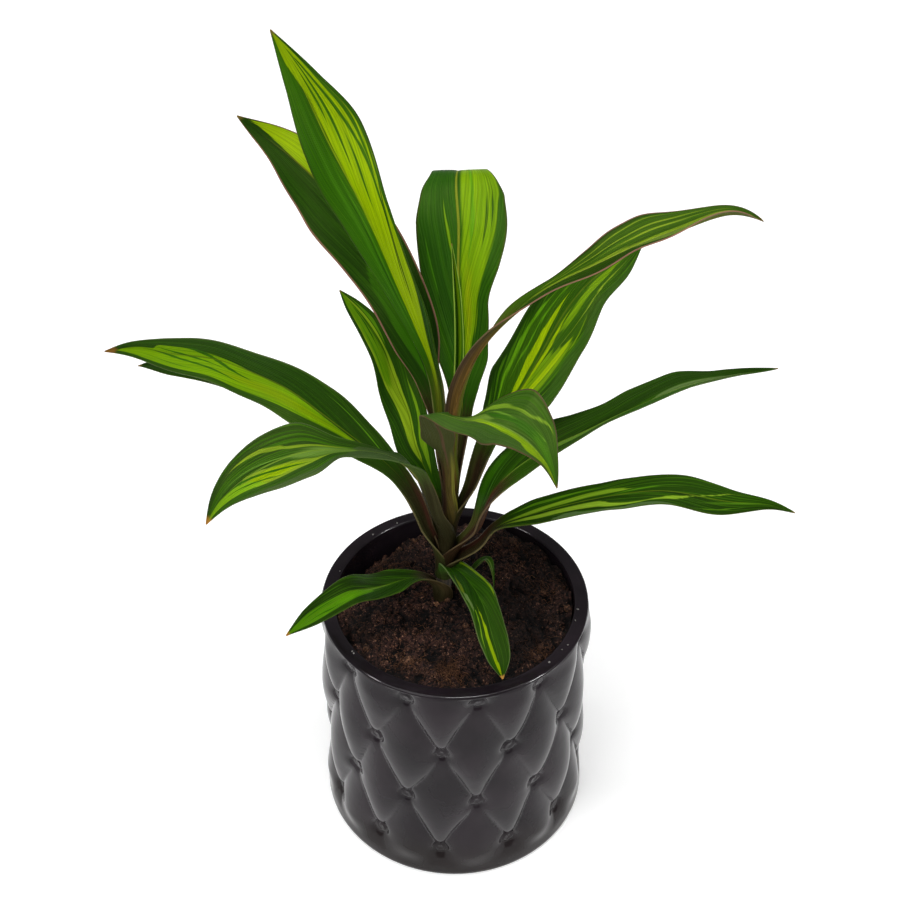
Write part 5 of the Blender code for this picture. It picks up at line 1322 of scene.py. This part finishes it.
def add_studio():
    bpy.context.scene.view_settings.view_transform = "Standard"
    world = bpy.data.worlds.new("studio")
    bpy.context.scene.world = world
    world.use_nodes = True
    world.node_tree.nodes["Background"].inputs[0].default_value = (1.0, 1.0, 1.0, 1.0)
    world.node_tree.nodes["Background"].inputs[1].default_value = 0.3
    sun = bpy.data.lights.new("sky", "SUN")
    sun.energy = 1.2
    sun.angle = math.radians(60)
    made = bpy.data.objects.new("sky", sun)
    made.rotation_euler = (math.radians(24), math.radians(-14), 0.0)
    bpy.context.scene.collection.objects.link(made)
    add_area("key", (-1.1, -1.3, 1.7), (0, 0, 0.2), (1.2, 0.9), 13)
    add_area("fill", (1.5, -0.7, 1.1), (0, 0, 0.15), (1.0, 1.0), 7)
    add_area("strip", (0, 0.2, 1.7), (0, 0, 0.13), (1.5, 0.2), 9)
    add_area("glint_left", (-1.3, -0.5, 1.4), (0, 0, 0.13), (0.25, 0.25), 24, True)
    add_area("glint_right", (1.3, -0.5, 1.4), (0, 0, 0.13), (0.25, 0.25), 24, True)
    add_area("glint_top", (0.1, -0.1, 1.9), (0, 0, 0.13), (0.6, 0.12), 20, True)
    bpy.ops.mesh.primitive_plane_add(size=12.0, location=(0, 0, 0))
    floor = bpy.context.object
    floor.name = "studio_floor"
    s = Surface("studio_floor", Roughness=0.8, Base_Color=(0.9, 0.9, 0.9, 1.0))
    s.shader.inputs["Emission Color"].default_value = (1.0, 1.0, 1.0, 1.0)
    s.shader.inputs["Emission Strength"].default_value = 0.3
    floor.data.materials.append(s.material)


add_camera()
add_studio()
build_pot(glaze_material())
# hollows=True gives the potting soil painted shade in its hollows
earth = soil_material("potting_soil", (7, 5, 5), (72, 47, 40), (178, 130, 104), 1.0, hollows=True)
build_soil(earth)
build_stem(stem_material())
for number, (name, leaf) in enumerate(LEAVES.items()):
    build_leaf(name, leaf, leaf_material(name + "_skin", LOOKS[name], leaf, number))

draw = np.random.default_rng(11)
bits = soil_material("soil_bits", (12, 8, 7), (92, 62, 50), (186, 138, 108), 1.6)
scatter("soil_small_crumbs", 2600, (0.3, 0.8), 1, draw, bits)
scatter("soil_large_crumbs", 420, (0.7, 1.8), 2, draw, bits)
clay = soil_material("soil_clods_skin", (40, 26, 20), (118, 82, 60), (186, 138, 102), 1.3)
scatter("soil_clods", len(CLODS), (1.4, 2.6), 3, draw, clay, 0.8, lambda n: CLODS[n])
# Pale specks lying on the rim of the pot
pale_specks = soil_material("rim_specks_skin", (120, 116, 110), (190, 188, 184), (226, 226, 224), 3.0)
scatter("rim_specks", len(RIM_SPECKS), (0.35, 0.65), 2, draw, pale_specks, 0.8, lambda n: (*RIM_SPECKS[n], POT_HEIGHT))
straw = soil_material("root_fibres", (58, 37, 25), (126, 86, 60), (200, 152, 108), 2.0)
build_fibres("soil_fibres", 300, (3.0, 10.0), (0.08, 0.16), draw, straw)
build_fibres("soil_fibre_clumps", 320, (4.0, 12.0), (0.12, 0.22), draw, straw, clump)
